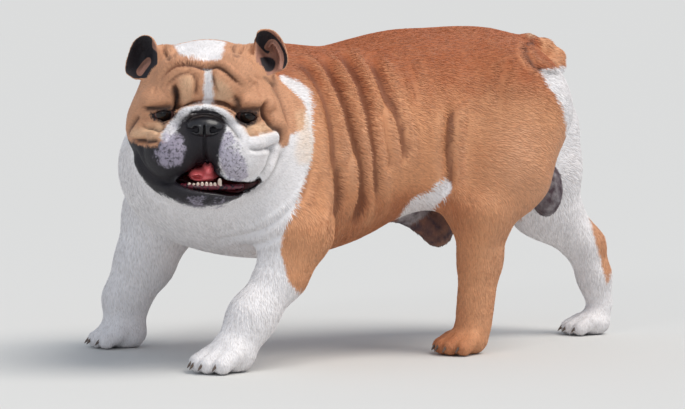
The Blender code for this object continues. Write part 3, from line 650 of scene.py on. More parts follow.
def mesh_piece(name, places, faces):
    """A shown object from places in the dog's drawing and faces, smooth shaded."""
    mesh = bpy.data.meshes.new(name)
    mesh.from_pydata((places - MIDDLE).tolist(), [], faces)
    mesh.shade_smooth()
    obj = bpy.data.objects.new(name, mesh)
    bpy.context.scene.collection.objects.link(obj)
    return obj


def plain_faces(ring):
    """Faces as lists of corners, without the doubles where a large cell meets small ones."""
    faces = []
    for face in ring.tolist():
        corners = [c for i, c in enumerate(face) if c != face[i - 1]]
        if len(corners) > 2:
            faces.append(corners)
    return faces


MM = 0.001
# Furrows of the face, each as how deep, how wide and its points in millimetres: side, and up
FACE_FURROWS = (
    # across the forehead, and a lesser one above it
    (5.0, 3.0, ((-56, 38), (-53, 46), (-46, 54), (-36, 60), (-20, 61), (-8, 59), (0, 57), (10, 60),
                (19, 57), (28, 50), (38, 42), (50, 34))),
    (1.8, 2.6, ((-44, 66), (-26, 67), (-8, 66), (6, 67), (20, 68), (31, 64), (42, 56), (54, 46))),
    # round the left of the face as it is seen: the brow, its finer lines, and the deep eye crease
    (3.6, 2.8, ((-51, 30), (-45, 40), (-34, 48), (-22, 52), (-15, 48), (-12, 38), (-13, 27), (-17, 18))),
    (2.0, 2.0, ((-58, 30), (-52, 41), (-42, 49), (-31, 54))),
    (2.2, 2.0, ((-44, 27), (-39, 36), (-32, 42), (-25, 44))),
    (1.4, 2.0, ((-64, 24), (-60, 37), (-53, 48))),
    (6.0, 3.2, ((-41, 37), (-37, 32), (-35, 23), (-35, 13), (-37, 4))),
    (3.0, 2.4, ((-77, 6), (-67, 8), (-57, 9.5), (-47, 11.5), (-38, 11))),
    (3.2, 2.6, ((-81, -2), (-86, -9), (-91, -17), (-94, -27))),
    (3.0, 2.4, ((-45, -14), (-56, -17.5), (-69, -17), (-80, -12))),
    (3.4, 2.8, ((-53, -29), (-66, -31), (-80, -32.5), (-92, -33))),
    (3.4, 3.2, ((-30, -79), (-48, -80), (-64, -74), (-77, -60), (-86, -42))),
    # the right of the face as it is seen
    (2.6, 2.2, ((6, 52), (9, 44), (12, 34), (16, 28))),
    (2.2, 2.4, ((9, 15), (17, 17), (25, 15), (31, 12))),
    (3.6, 2.8, ((29, 12), (37, 10.5), (48, 10.5), (58, 11.5), (68, 12))),
    (3.6, 3.6, ((42, 12), (38, 19), (33, 26))),
    (5.4, 3.0, ((75, 22), (69, 13), (69, 4), (74, -5), (81, -12), (88, -15.5), (91, -25), (90, -37))),
    (2.0, 2.2, ((60, 37), (65, 28), (69, 20))),
    (2.8, 3.0, ((72, 46), (82, 35), (89, 22), (94, 8), (98, -6), (100, -22))),
    (2.0, 2.0, ((31, 61), (40, 52), (50, 44), (60, 37))),
    (1.6, 2.0, ((38, 67), (48, 58), (58, 49), (66, 42))),
    (1.6, 2.0, ((16, 50), (24, 43), (33, 37), (42, 33))),
    (2.4, 2.2, ((48, -9), (56, -19.5), (65, -21), (77, -18), (87, -17))),
    (3.4, 2.8, ((53, -36), (66, -38.5), (78, -37), (88, -32))),
    (5.0, 2.8, ((82, -34), (80, -47), (76, -60), (69, -72), (62, -81))),
    (2.6, 3.2, ((94, -38), (90, -54), (81, -72), (67, -88), (49, -99), (28, -106))),
    # round the roll over the nose, and down the middle of the lip
    (3.6, 3.0, ((-61, -32), (-53, -14), (-40, 2), (-23, 13), (0, 17), (23, 13), (40, 1), (53, -14),
                (60, -32))),
    (3.0, 2.2, ((-46, -32), (-36, -17), (-25, -5), (-12, 4), (0, 6.5), (12, 4), (25, -5), (36, -17),
                (45, -30))),
    (3.6, 2.0, ((0.5, -23), (0.5, -40), (3, -57))),
    # under the slack lobes of scalp by the ears
    (2.8, 2.2, ((-56, 86), (-54, 75), (-48, 66.5), (-42, 70), (-39, 79))),
    (2.8, 2.2, ((28, 92), (29.5, 80), (34, 72.5), (39, 76), (43, 84), (49, 93))),
)
# Cushions of slack skin, each as how high, how wide and its points
FACE_ROLLS = (
    (3.0, 8.0, ((-27, 45), (-23, 36), (-22, 24), (-26, 12))),
    (3.4, 6.5, ((-68, 15), (-58, 18), (-48, 22), (-45, 27))),
    (2.6, 8.0, ((14, 46), (20, 38), (25, 29))),
    (3.4, 6.0, ((46, 19), (55, 17.5), (63, 18))),
    (3.2, 6.0, ((-86, -25), (-72, -24), (-60, -24))),
    (1.6, 4.0, ((-48, -10), (-57, -12), (-67, -10))),
    (3.6, 6.0, ((57, -28), (69, -29), (82, -25))),
    (2.2, 4.5, ((50, -12), (60, -14), (68, -9))),
    (3.0, 8.0, ((80, 12), (86, -2), (92, -12))),
    (2.0, 4.0, ((-48, 78), (-47, 73))),
    (2.0, 4.0, ((35, 86), (35, 80))),
)
# Dark hair and shade in the deepest creases: how dark, how wide and its points
FACE_SHADES = (
    (1.0, 4.6, ((-39, 35), (-37, 28), (-35, 20), (-36, 11), (-37, 4), (-40, -3))),
    (0.95, 3.2, ((-38, 10), (-47, 8.5), (-57, 7.5), (-67, 7), (-76, 6))),
    (0.95, 3.0, ((-62, 1), (-57, -5), (-50, -8.5), (-43, -7))),
    (0.9, 3.4, ((26, 9), (37, 8), (48, 8), (58, 8), (68, 12))),
    (0.75, 4.5, ((35, 23), (38, 15), (36, 8))),
    (0.95, 3.0, ((62, 6), (59, -3), (52, -8.5), (44, -6.5), (38, -1))),
    (0.75, 1.8, ((70, 15), (69, 5), (74, -5), (82, -13), (89, -17), (91, -28), (90, -37))),
    (0.75, 2.0, ((-36, 60), (-20, 61), (-8, 59), (0, 57), (10, 60), (19, 57), (28, 50), (38, 42))),
    (0.55, 1.6, ((7, 50), (9, 43), (13, 33))),
    (0.40, 1.5, ((-44, 40), (-34, 48), (-22, 52))),
    (0.45, 1.5, ((-12.5, 42), (-12.5, 34), (-13, 27))),
    (0.65, 2.4, ((-80, -2), (-86, -9), (-91, -18), (-94, -28))),
    (0.70, 1.7, ((-46, -15), (-58, -18), (-70, -17))),
    (0.90, 2.2, ((-54, -30), (-68, -32), (-86, -33))),
    (0.50, 1.6, ((53, -37), (66, -38.5), (78, -37), (86, -33))),
    (0.60, 1.6, ((82, -36), (80, -47), (76, -60), (69, -72))),
    (0.40, 2.8, ((93, -38), (89, -54), (80, -72), (66, -88), (48, -99))),
    (0.60, 1.6, ((-34, -14), (-24, -3), (-12, 5))),
    (0.60, 2.6, ((10, 16.5), (20, 14), (30, 9), (37, 4))),
    (0.60, 2.6, ((-10, 16.5), (-20, 14), (-30, 9), (-36, 4))),
    (0.70, 1.6, ((14, 3), (26, -6), (36, -17), (43, -27))),
    (0.55, 1.6, ((-54, 78), (-48, 68), (-42, 71))),
    (0.55, 1.6, ((29, 88), (30, 78), (35, 73.5), (41, 79))),
    (0.55, 2.2, ((66, 49), (74, 43), (84, 36))),
    (0.35, 2.6, ((76, 38), (84, 26), (90, 12), (95, -2))),
)
# Furrows between the rolls of skin on the left of the neck, as they are seen in the view
NECK_FURROWS = (
    (5.0, 4.5, ((288, 60), (303, 66), (316, 81), (325, 100), (330, 120), (333, 140), (334, 158),
                (338, 190), (340, 220))),
    (8.5, 4.8, ((316, 55), (326, 67), (336, 86), (345, 108), (351, 128), (358, 150), (362, 169),
                (363, 193), (360, 209), (354, 229))),
    (8.0, 4.8, ((335, 50), (348, 66), (358, 82), (363, 98), (368, 115), (371, 133), (374, 150),
                (375, 166), (376, 186), (375, 208))),
    (6.0, 4.8, ((368, 58), (379, 79), (386, 96), (394, 110), (401, 128), (405, 150), (405, 166))),
    (4.6, 4.4, ((378, 104), (383, 120), (386, 141), (389, 156), (388, 175))),
    (3.6, 3.4, ((349, 150), (348, 179), (345, 206))),
    (3.4, 3.4, ((343, 160), (338, 191), (335, 216), (329, 242))),
    (1.8, 4.2, ((402, 62), (411, 82), (417, 104))),
    (2.4, 3.6, ((311, 166), (307, 186), (301, 204))),
    (5.4, 4.8, ((453, 104), (450, 130), (449, 150), (450, 167), (449, 183), (443, 198))),
    (1.6, 4.0, ((503, 60), (498, 84), (497, 110))),
    (4.0, 2.8, ((536, 34), (528, 40), (525, 49), (528, 58), (535, 66), (549, 70))),
    # wrinkles of the throat under the jaw
    (2.8, 3.0, ((292, 205), (278, 220), (258, 231), (236, 238), (212, 241))),
    (2.4, 3.0, ((286, 232), (268, 241), (246, 247), (226, 249))),
)
FURROWS_ON_BOTH_SIDES = 9
PIXEL = 0.00127
# White fur on the side that faces the view, each outlined there
WHITE_AREAS = (
    (
        (281, 75), (295, 80), (308, 91), (311, 105), (311, 125), (311, 149), (309, 164), (303, 183),
        (298, 199), (291, 216), (285, 229), (281, 241), (281, 254), (285, 266), (288, 280), (298, 292),
        (306, 289), (330, 300), (330, 400), (60, 400), (60, 110), (200, 110),
    ),
    (
        (443, 176), (450, 180), (452, 187), (450, 193), (443, 199), (434, 208), (425, 217), (416, 223),
        (405, 228), (390, 236), (374, 243), (387, 234), (397, 222), (401, 215), (405, 207), (410, 200),
        (421, 194), (430, 190), (437, 181),
    ),
    (
        (538, 70), (546, 84), (555, 95), (561, 107), (564, 117), (566, 127), (566, 143), (566, 155),
        (564, 162), (555, 175), (545, 190), (528, 216), (530, 250), (535, 345), (640, 345),
        (640, 180), (600, 60), (556, 66),
    ),
)


def pictured(p):
    """Where each place is seen in the view, across and down, in its pixels."""
    sine, cosine = math.sin(math.radians(SIGHT_TURN)), math.cos(math.radians(SIGHT_TURN))
    reach = SIGHT_REACH - p[:, 0] * cosine + p[:, 1] * sine
    across = (p[:, 0] * sine + p[:, 1] * cosine - 0.111) / reach
    down = (STAND[2] - p[:, 2]) / reach
    return np.stack((PICTURE[0] / 2 + FOCAL * across, -5.5 + FOCAL * down), axis=1)


def eased(value, low, high):
    """0 below low, 1 above high, and a smooth rise between."""
    t = np.clip((value - low) / (high - low), 0.0, 1.0)
    return t * t * (3.0 - 2.0 * t)


def furrow(gap, wide, roll=0.28):
    """The section of a furrow: a round groove with a low roll of skin on each side."""
    gap = gap / wide
    return np.exp(-(gap**2)) - roll * np.exp(-((gap - 2.1) ** 2))


def along_path(q, path):
    """Distance from each point to a curve, and how far from the curve's ends that is: 0 to 1."""
    lengths = np.linalg.norm(np.diff(path, axis=0), axis=1)
    starts = np.concatenate(((0.0,), np.cumsum(lengths)))
    nearest, reached = np.full(len(q), 1.0), np.zeros(len(q))
    for i, (start, end) in enumerate(zip(path, path[1:])):
        along = end - start
        t = np.clip((q - start) @ along / (along @ along), 0.0, 1.0)
        gap = np.linalg.norm(q - start - t[:, None] * along, axis=1)
        closer = gap < nearest
        nearest = np.where(closer, gap, nearest)
        reached = np.where(closer, starts[i] + t * lengths[i], reached)
    share = reached / starts[-1]
    return nearest, eased(np.minimum(share, 1.0 - share), -0.03, 0.16)


skin_places, skin_ring = surface(
    dog_form, SKIN_LOW, SKIN_HIGH, SKIN_STEP, (fine_places, finest_places)
)
skin_places = settled(dog_form, skin_places, 0.002)
skin_faces = plain_faces(skin_ring)
skin = mesh_piece("skin", skin_places, skin_faces)
skin_normals = np.array([v.vector for v in skin.data.vertex_normals])

# How each place of the skin lies: in the head's frame, in the view, and whether it faces the view
head_places = in_head_frame(skin_places)
face_places = faced(head_places)
view_places = pictured(skin_places)
facing = skin_normals @ -np.array(sight.normalized())
on_head = eased(head_places[:, 0], -0.105, -0.085) * (
    np.linalg.norm(head_places, axis=1) < 0.150
)
face_side = skin_normals @ HEAD_AXES[0]

depth = np.zeros(len(skin_places))
shown = eased(head_places[:, 0], -0.085, -0.060) * eased(face_side, -0.15, 0.30) * on_head
near = np.nonzero(shown > 0)[0]
for deep, wide, points in FACE_FURROWS:
    gap, fade = along_path(face_places[near], smooth_path(points) * MM)
    depth[near] += deep * MM * furrow(gap, wide * MM) * shown[near] * fade
rise = np.zeros(len(skin_places))
for high, wide, points in FACE_ROLLS:
    gap = path_distance(face_places[near], smooth_path(points) * MM) / (wide * MM)
    rise[near] += high * MM * np.exp(-(gap**2)) * shown[near]
shade = np.zeros(len(skin_places))
for dark, wide, points in FACE_SHADES:
    gap, fade = along_path(face_places[near], smooth_path(points) * MM)
    shade[near] = np.maximum(shade[near], dark * np.exp(-((gap / (wide * MM)) ** 2)) * shown[near] * fade)
shown = eased(facing, -0.05, 0.35) * (1.0 - on_head) * eased(skin_places[:, 0], 0.02, 0.06)
near = np.nonzero(shown > 0)[0]
# the far side of the neck is stretched by the turn of the head, so its folds are shallower
mirrored = pictured(skin_places * (-1, 1, 1))
far_shown = eased(skin_normals @ (np.array(sight.normalized()) * (1, -1, -1)), -0.05, 0.35) * (
    (1.0 - on_head) * eased(-skin_places[:, 0], 0.02, 0.06) * 0.3
)
far = np.nonzero(far_shown > 0)[0]
for number, (deep, wide, points) in enumerate(NECK_FURROWS):
    gap, fade = along_path(view_places[near] * PIXEL, smooth_path(points) * PIXEL)
    depth[near] += deep * MM * furrow(gap, wide * PIXEL, 0.42) * shown[near] * fade
    if number < FURROWS_ON_BOTH_SIDES:
        gap, fade = along_path(mirrored[far] * PIXEL, smooth_path(points) * PIXEL)
        depth[far] += deep * MM * furrow(gap, wide * PIXEL) * far_shown[far] * fade
skin_places = skin_places + (rise - depth)[:, None] * skin_normals
skin.data.vertices.foreach_set("co", (skin_places - MIDDLE).astype(np.float32).ravel())
skin.data.update()
skin_normals = np.array([v.vector for v in skin.data.vertex_normals])


def give(mesh, name, values):
    """Store one number, or one direction, for each corner point of a mesh."""
    kind = "FLOAT" if values.ndim == 1 else "FLOAT_VECTOR"
    field = mesh.attributes.new(name, kind, "POINT")
    field.data.foreach_set("value" if values.ndim == 1 else "vector", values.astype(np.float32).ravel())


# Fields that colour the coat. A white or black area is a distance into it, in metres.
x, y, z = skin_places.T
seen_white = np.max([within(view_places * PIXEL, np.array(a) * PIXEL) for a in WHITE_AREAS], axis=0)
far_white = within(np.stack((y, z), axis=1), (
    (-0.30, 0.30), (-0.200, 0.31), (-0.150, 0.325), (-0.118, 0.29), (-0.098, 0.24), (-0.070, 0.19), (-0.045, 0.14),
    (-0.050, 0.09), (0.03, 0.08), (0.03, -0.1), (-0.30, -0.1),
))
rump_white = np.minimum(y - 0.41, within(np.stack((x, z), axis=1), smooth_path((
    (-0.046, 0.362), (0.000, 0.368), (0.062, 0.360), (0.074, 0.330), (0.066, 0.290), (0.056, 0.255),
    (0.046, 0.220), (0.024, 0.180), (-0.010, 0.150), (-0.026, 0.100), (-0.075, 0.100),
    (-0.094, 0.160), (-0.076, 0.225), (-0.054, 0.280), (-0.060, 0.330), (-0.050, 0.352),
), pieces=3)))
hock_tan = within(view_places * PIXEL, PIXEL * np.array((
    (588, 203), (600, 210), (611, 232), (615, 262), (608, 284), (602, 262), (596, 238), (589, 218),
)))
# the far thigh's inner side goes with the rump
seen_white = np.where((x < 0.045) & (y > 0.36), np.maximum(seen_white, rump_white), seen_white)
seen_white = np.minimum(seen_white, -hock_tan)
seen_white = np.where((x > 0.045) & (y > 0.25), np.minimum(seen_white, z - 0.262), seen_white)
foot_white = np.minimum(0.13 - z, y - 0.45)
belly_white = np.minimum(0.055 - np.abs(x), -skin_normals[:, 2] * 0.05 - 0.02)
hidden_white = np.max([far_white, rump_white, foot_white, belly_white], axis=0)
toward = eased(facing, -0.25, 0.05)
white = toward * seen_white + (1.0 - toward) * hidden_white

# Markings of the face, in millimetres as it is seen from in front: to the side, and up
FACE_WHITE = (
    # the crown, the blaze, and the white of the roll, cheek and throat
    ((-43, 88), (-41, 81), (-36, 75), (-28, 70), (-8, 66.5), (4, 66), (13, 67.5), (17, 72), (18, 79),
     (19, 88), (22, 130), (-42, 130)),
    ((92, 50), (100, 45), (110, 36), (117, 22), (119, 5), (119, -22), (140, -25), (140, 20),
     (130, 44), (108, 60)),
    ((-2.5, 57), (5.5, 57), (7, 40), (9, 20), (4, 12), (-4, 14), (-3.5, 30)),
    ((-51, -27), (-46, -13), (-35, 1), (-19, 11.5), (0, 14.5), (20, 10.5), (35, 0), (47, -15),
     (53, -22), (60, -21.5), (70, -20), (87, -17), (89, -26), (92, -36), (98, -34), (106, -20),
     (140, -30), (140, -200), (-60, -200), (-60, -103), (-10, -102), (12, -101), (26, -98),
     (40, -93), (50, -88), (58, -84), (66, -80), (40, -83), (22, -76), (15, -64), (12, -50),
     (14, -35), (17, -22), (22, -13), (18, -6), (0, 2), (-18, -7), (-29, -22), (-40, -34)),
    ((-140, -34), (-97, -38), (-84, -50), (-60, -60), (0, -70), (0, -200), (-140, -200)),
)
FACE_BLACK = (
    (-27, -6), (-15, 6), (0, 8), (15, 6), (26, -5), (24, -20), (20, -35), (17, -50), (20, -63),
    (27, -73), (40, -80), (54, -80.5), (67, -77), (61, -86), (50, -92), (42, -99), (30, -104),
    (20, -106), (0, -109), (-18, -108), (-30, -105), (-37, -101), (-60, -93), (-76, -78), (-90, -56),
    (-99, -36), (-88, -35), (-70, -39), (-58, -36), (-52, -31), (-42, -33), (-34, -22),
)
# Lilac skin showing through thin white hair, flecked with black
FACE_LILAC = (
    ((-47, -22), (-37, -19), (-28, -22), (-21, -33), (-22, -50), (-28, -60), (-42, -63), (-55, -58),
     (-62, -47), (-56, -37), (-50, -29)),
    ((22, -20), (30, -15), (40, -26), (47, -40), (52, -58), (52, -74), (38, -79), (28, -73),
     (21, -60), (18, -40)),
)
# Where the flecks are only faint: the chin, and the roll over the nose on one side
FACE_FLECKED = (
    ((-32, -95), (0, -93), (26, -94), (38, -99), (26, -110), (0, -114), (-22, -112), (-34, -105)),
    ((-52, -28), (-47, -13), (-36, 1), (-22, 9), (-16, 3), (-28, -8), (-38, -22), (-44, -30)),
)
# Cream hair inside the white of the collar, and the pale hair below the eyes
FACE_PALE = (
    ((46, -9), (58, -7), (72, -8), (82, -15), (70, -19), (52, -20)),
    ((-47, -9), (-60, -12), (-80, -16), (-90, -26), (-70, -29), (-54, -26)),
    ((12, 46), (24, 38), (32, 22), (12, 20)),
    ((-30, 44), (-17, 46), (-17, 22), (-28, 16)),
)
# The dark hollow of each ear, with the pale ridge and hairs inside it
EAR_DARK = {
    "left": ((56, 97), (62, 103), (72, 103), (80, 97), (88, 88), (95, 75), (97, 65), (92, 57), (87, 63),
             (84, 73), (79, 82), (74, 81), (72, 76), (66, 80), (58, 90)),
    "right": ((-78, 98), (-70, 92), (-70, 80), (-63, 74), (-61, 62), (-66, 50), (-74, 42), (-80, 38),
              (-87, 42), (-97, 40), (-106, 50), (-103, 72), (-90, 92)),
}
# Where each ear's canal opens, darkened as painted shade
EAR_CANAL = {
    "left": ((62, 71), (70, 72), (78, 70), (82, 64), (79, 56), (72, 54), (66, 60)),
    "right": ((-84, 60), (-72, 64), (-66, 56), (-74, 46), (-84, 48)),
}


def rounded(outline):
    """A closed outline with curved sides."""
    outline = np.asarray(outline, float)
    return smooth_path(np.vstack((outline, outline[:1])), pieces=3)[:-1]


def face_areas(outlines):
    """How far inside any of a few outlines of the face each place of the skin lies."""
    found = np.full(len(face_places), -0.05)
    for outline in outlines:
        found[face_near] = np.maximum(found[face_near], within(face_places[face_near], rounded(outline) * MM))
    return found


ahead = head_places[:, 0]
face_near = np.nonzero(on_head > 0)[0]
front_white = face_areas(FACE_WHITE)
front_white = np.minimum(front_white, np.where(z > 0.33, ahead + 0.135, 1.0))
throat_white = np.minimum(-0.036 - head_places[:, 2], -0.050 - ahead)
front_white = np.maximum(front_white, throat_white)
white = on_head * front_white + (1.0 - on_head) * white
black = np.minimum(face_areas((FACE_BLACK,)), ahead + 0.052)
mouth_edge = face_areas((np.array(MOUTH_OPENING) / MM,))
black = np.maximum(black, np.where(ahead > MOUTH_BACK - 0.004, mouth_edge + 0.0035, -0.05))
for opening in EYE_OPENINGS:
    black = np.maximum(black, face_areas((np.array(opening) / MM,)) + 0.0034)
mouth_inside = eased(mouth_edge, -0.0008, 0.0014) * (ahead > MOUTH_BACK - 0.012) * eased(
    0.052 - ahead, 0.0, 0.012
)
lilac = eased(face_areas(FACE_LILAC), -0.005, 0.006) * (ahead > -0.04)
lilac = np.maximum(lilac, 0.45 * eased(face_areas(FACE_FLECKED), -0.004, 0.004) * (ahead > -0.04))
pale = eased(face_areas(FACE_PALE), -0.006, 0.006) * (ahead > -0.05)
cream = within(view_places * PIXEL, PIXEL * np.array((
    (295, 113), (303, 108), (309, 118), (312, 135), (312, 152), (309, 162), (299, 163), (295, 155),
    (297, 140), (296, 125),
)))
pale = np.maximum(pale, 0.8 * eased(cream, -0.006, 0.006) * toward)
# Painted shade in the groove at the tail's root and under the tail's lump
for points in (((532, 38), (525, 48), (528, 58), (535, 66)), ((534, 67), (546, 71), (558, 70))):
    gap, fade = along_path(view_places * PIXEL, smooth_path(points) * PIXEL)
    dark = 0.75 * np.exp(-((gap / (2.3 * PIXEL)) ** 2)) * fade
    shade = np.maximum(shade, dark * toward * (y > 0.30) * (z > 0.345))
# Painted highlight: a pale spot on the top of the tail's lump
tail_highlight_gap = np.linalg.norm(view_places - (529.0, 34.0), axis=1)
pale = np.maximum(pale, 0.8 * eased(-tail_highlight_gap, -5.0, -1.5) * toward * (y > 0.35))
thigh_lilac = within(view_places * PIXEL, PIXEL * rounded((
    (541, 180), (549, 188), (551, 198), (545, 208), (534, 214), (529, 206), (534, 192),
)))
lilac = np.maximum(lilac, 0.55 * eased(thigh_lilac, -0.006, 0.006) * toward * (y > 0.35) * (x < 0.03))

# Bare dusky skin between the thighs, and painted shade in the same colour on the sheath behind the belly and on the
# web of flesh from it to the groin
dusky = eased(-ball(skin_places, SCROTUM[0], np.array(SCROTUM[1]) + 0.004), -0.003, 0.004)
# painted shade on the sheath and its web
sheath = path_distance(skin_places, np.array([joint[0] for joint in SHEATH])) - 0.027
dusky = np.maximum(dusky, 0.9 * eased(-sheath, -0.006, 0.003) * eased(0.216 - z, 0.0, 0.02))

# Inside the ears: hollow counts how dark each place is, its canal part being painted shade, and pink its ridge and
# canal
hollow, pink = np.zeros(len(z)), np.zeros(len(z))
ear_skin = np.zeros(len(z))
for side, (tree, rim) in EARS.items():
    low, high = rim.min(axis=0) - (0.045, 0.010, 0.012), rim.max(axis=0) + 0.010
    here = np.nonzero(np.all((head_places > low) & (head_places < high), axis=1))[0]
    found = [tree.find_nearest(head_places[i]) for i in here]
    off = np.array([head_places[i] - np.array(hit[0]) for i, hit in zip(here, found)])
    way = np.array([np.array(hit[1]) for hit in found])
    way *= np.sign(way[:, 0].mean())
    close = np.linalg.norm(off, axis=1) < 0.0078
    inner = eased(np.sum(off * way, axis=1), 0.0, 0.0012) * close
    rim_gap = path_distance(head_places[here], np.vstack((rim, rim[:1])))
    bowl = eased(within(face_places[here], rim[:, 1:] - np.outer(rim[:, 0], (0.0, NOD_SLOPE))), 0.003, 0.005)
    bowl *= eased(-head_places[here, 0], 0.058, 0.063) * eased(head_places[here, 0], -0.098, -0.093)
    inner = np.maximum(inner, bowl * eased(face_side[here], -0.10, 0.15))
    inner *= eased(rim_gap, 0.0003, 0.0013)
    dark = eased(within(face_places[here], rounded(EAR_DARK[side]) * MM), -0.002, 0.002)
    canal = eased(within(face_places[here], rounded(EAR_CANAL[side]) * MM), -0.002, 0.003)
    ridge = eased(-ridge_form(head_places[here], side), -0.0032, -0.0012)
    hollow[here] = np.maximum(hollow[here], inner * np.maximum(dark, 0.75 * canal) * (1.0 - ridge))
    pink[here] = np.maximum(pink[here], np.maximum(inner * (1.0 - dark), ridge))
    ear_skin[here] = np.maximum(ear_skin[here], np.maximum(close, ridge))
wet = np.maximum(mouth_inside, eased(mouth_edge, -0.0065, -0.0030) * (ahead > MOUTH_BACK))
for opening in EYE_OPENINGS:
    wet = np.maximum(wet, eased(face_areas((np.array(opening) / MM,)), -0.0022, -0.0008))

# Redder along the back, and along the belly's edge as painted shade under it; paler on the thighs, the tail's lump and
# the face, and on the rolls beside each furrow as painted light
rust = 0.22 + 0.66 * eased(z, 0.250, 0.400) + 0.40 * eased(0.240 - z, 0.0, 0.045) * eased(
    y, 0.03, 0.07) * eased(0.27 - y, 0.0, 0.05)
rust = rust - 0.28 * eased(y, 0.24, 0.32) * eased(0.36 - z, 0.0, 0.08)
tail_lump = within(view_places * PIXEL, PIXEL * rounded((
    (536, 36), (549, 38), (561, 46), (565, 58), (560, 66), (546, 67), (534, 60), (530, 48),
)))
on_tail = eased(-chain(skin_places, TAIL[2:], 0.006), -0.012, -0.004)
rust = rust - 0.75 * eased(tail_lump, -0.003, 0.006) * toward * on_tail
# Painted light: paler on the low rolls of skin beside each furrow
rust = rust - 0.22 * np.clip(-depth / 0.0022, 0.0, 1.0)
rust = rust * (1.0 - on_head) - 0.30 * on_head
# Painted shade: the coat is darker brown in each furrow, the more so the deeper it is
folds = np.clip(depth / 0.004, 0.0, 1.2)
for name, values in (
    ("white", white), ("black", black), ("rust", rust), ("folds", folds), ("shade", shade),
    ("lilac", lilac), ("pale", pale), ("mouth", mouth_inside), ("hollow", hollow), ("pink", pink),
    ("wet", wet), ("dusky", dusky),
):
    give(skin.data, name, values)
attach(skin, "root")
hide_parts(*[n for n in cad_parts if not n.startswith(("eye", "nose", "tongue"))])


class Value:
    """One output of a node, so that a sum on it can be written as Python."""

    def __init__(self, plan, socket):
        self.plan = plan
        self.socket = socket

    def maths(self, operation, first, second):
        return self.plan.node("ShaderNodeMath", {"operation": operation}, {0: first, 1: second})

    def __add__(self, other):
        return self.maths("ADD", self, other)

    def __radd__(self, other):
        return self.maths("ADD", other, self)

    def __sub__(self, other):
        return self.maths("SUBTRACT", self, other)

    def __rsub__(self, other):
        return self.maths("SUBTRACT", other, self)

    def __mul__(self, other):
        return self.maths("MULTIPLY", self, other)

    def __rmul__(self, other):
        return self.maths("MULTIPLY", other, self)

    def __truediv__(self, other):
        return self.maths("DIVIDE", self, other)

    def __rtruediv__(self, other):
        return self.maths("DIVIDE", other, self)


class Plan:
    """A tree of nodes as it is laid out."""

    def __init__(self, tree):
        self.tree = tree

    def node(self, kind, settings=None, inputs=None, output=0):
        """A new node: its settings come first, then the values or links of its sockets."""
        made = self.tree.nodes.new(kind)
        for name, value in (settings or {}).items():
            if name == "stops":
                ramp = made.color_ramp
                while len(ramp.elements) < len(value):
                    ramp.elements.new(0.5)
                for stop, (place, colour) in zip(ramp.elements, value):
                    stop.position, stop.color = place, colour
            else:
                setattr(made, name, value)
        for key, value in (inputs or {}).items():
            self.link(made, key, value)
        shown = [s for s in made.outputs if s.enabled]
        socket = shown[output] if isinstance(output, int) else next(s for s in shown if s.name == output)
        return Value(self, socket)

    def link(self, made, key, value):
        if isinstance(key, int):
            socket = made.inputs[key]
        else:
            socket = next(s for s in made.inputs if s.enabled and key in (s.identifier, s.name))
        if isinstance(value, Value):
            self.tree.links.new(value.socket, socket)
        else:
            socket.default_value = value

    def field(self, name, kind="Fac"):
        """A number or colour stored on the mesh."""
        return self.node("ShaderNodeAttribute", {"attribute_name": name}, {}, kind)

    def noise(self, scale, detail=2.0, rough=0.5, place=None, output="Fac"):
        place = place or self.node("ShaderNodeTexCoord", {}, {}, "Object")
        return self.node(
            "ShaderNodeTexNoise", {}, {"Vector": place, "Scale": scale, "Detail": detail, "Roughness": rough}, output
        )

    def eased(self, value, low, high):
        """0 below low, 1 above high, and a smooth rise between."""
        return self.node(
            "ShaderNodeMapRange",
            {"interpolation_type": "SMOOTHSTEP"},
            {"Value": value, "From Min": low, "From Max": high},
        )

    def mixed(self, share, first, second, how="MIX"):
        return self.node(
            "ShaderNodeMix",
            {"data_type": "RGBA", "blend_type": how},
            {"Factor_Float": share, "A_Color": first, "B_Color": second},
        )


def finish(name):
    """A new material, as its plan and its shader node."""
    material = bpy.data.materials.new(name)
    material.use_nodes = True
    plan = Plan(material.node_tree)
    return material, plan, material.node_tree.nodes["Principled BSDF"]


def tone(red, green, blue):
    """A colour as it is seen, from 0 to 255, for a shader's socket."""
    return tuple(((c / 255 + 0.055) / 1.055) ** 2.4 if c > 10 else c / 3294 for c in (red, green, blue)) + (1.0,)


FACE_TAN = tone(208, 154, 118)
FAWN = tone(214, 153, 110)
RUST = tone(166, 88, 44)
# the brown of the painted shade in the folds
FOLD_SHADE_BROWN = tone(104, 50, 24)
CREAM = tone(236, 204, 168)
WHITE_FUR = tone(238, 236, 238)
LILAC = tone(186, 178, 198)
BLACK_FUR = tone(32, 28, 34)
CREASE_BROWN = tone(48, 30, 24)
DUSKY_SKIN_AND_SHADE = tone(72, 54, 62)
EAR_PINK = tone(150, 106, 96)
MOUTH_RED = tone(96, 22, 26)


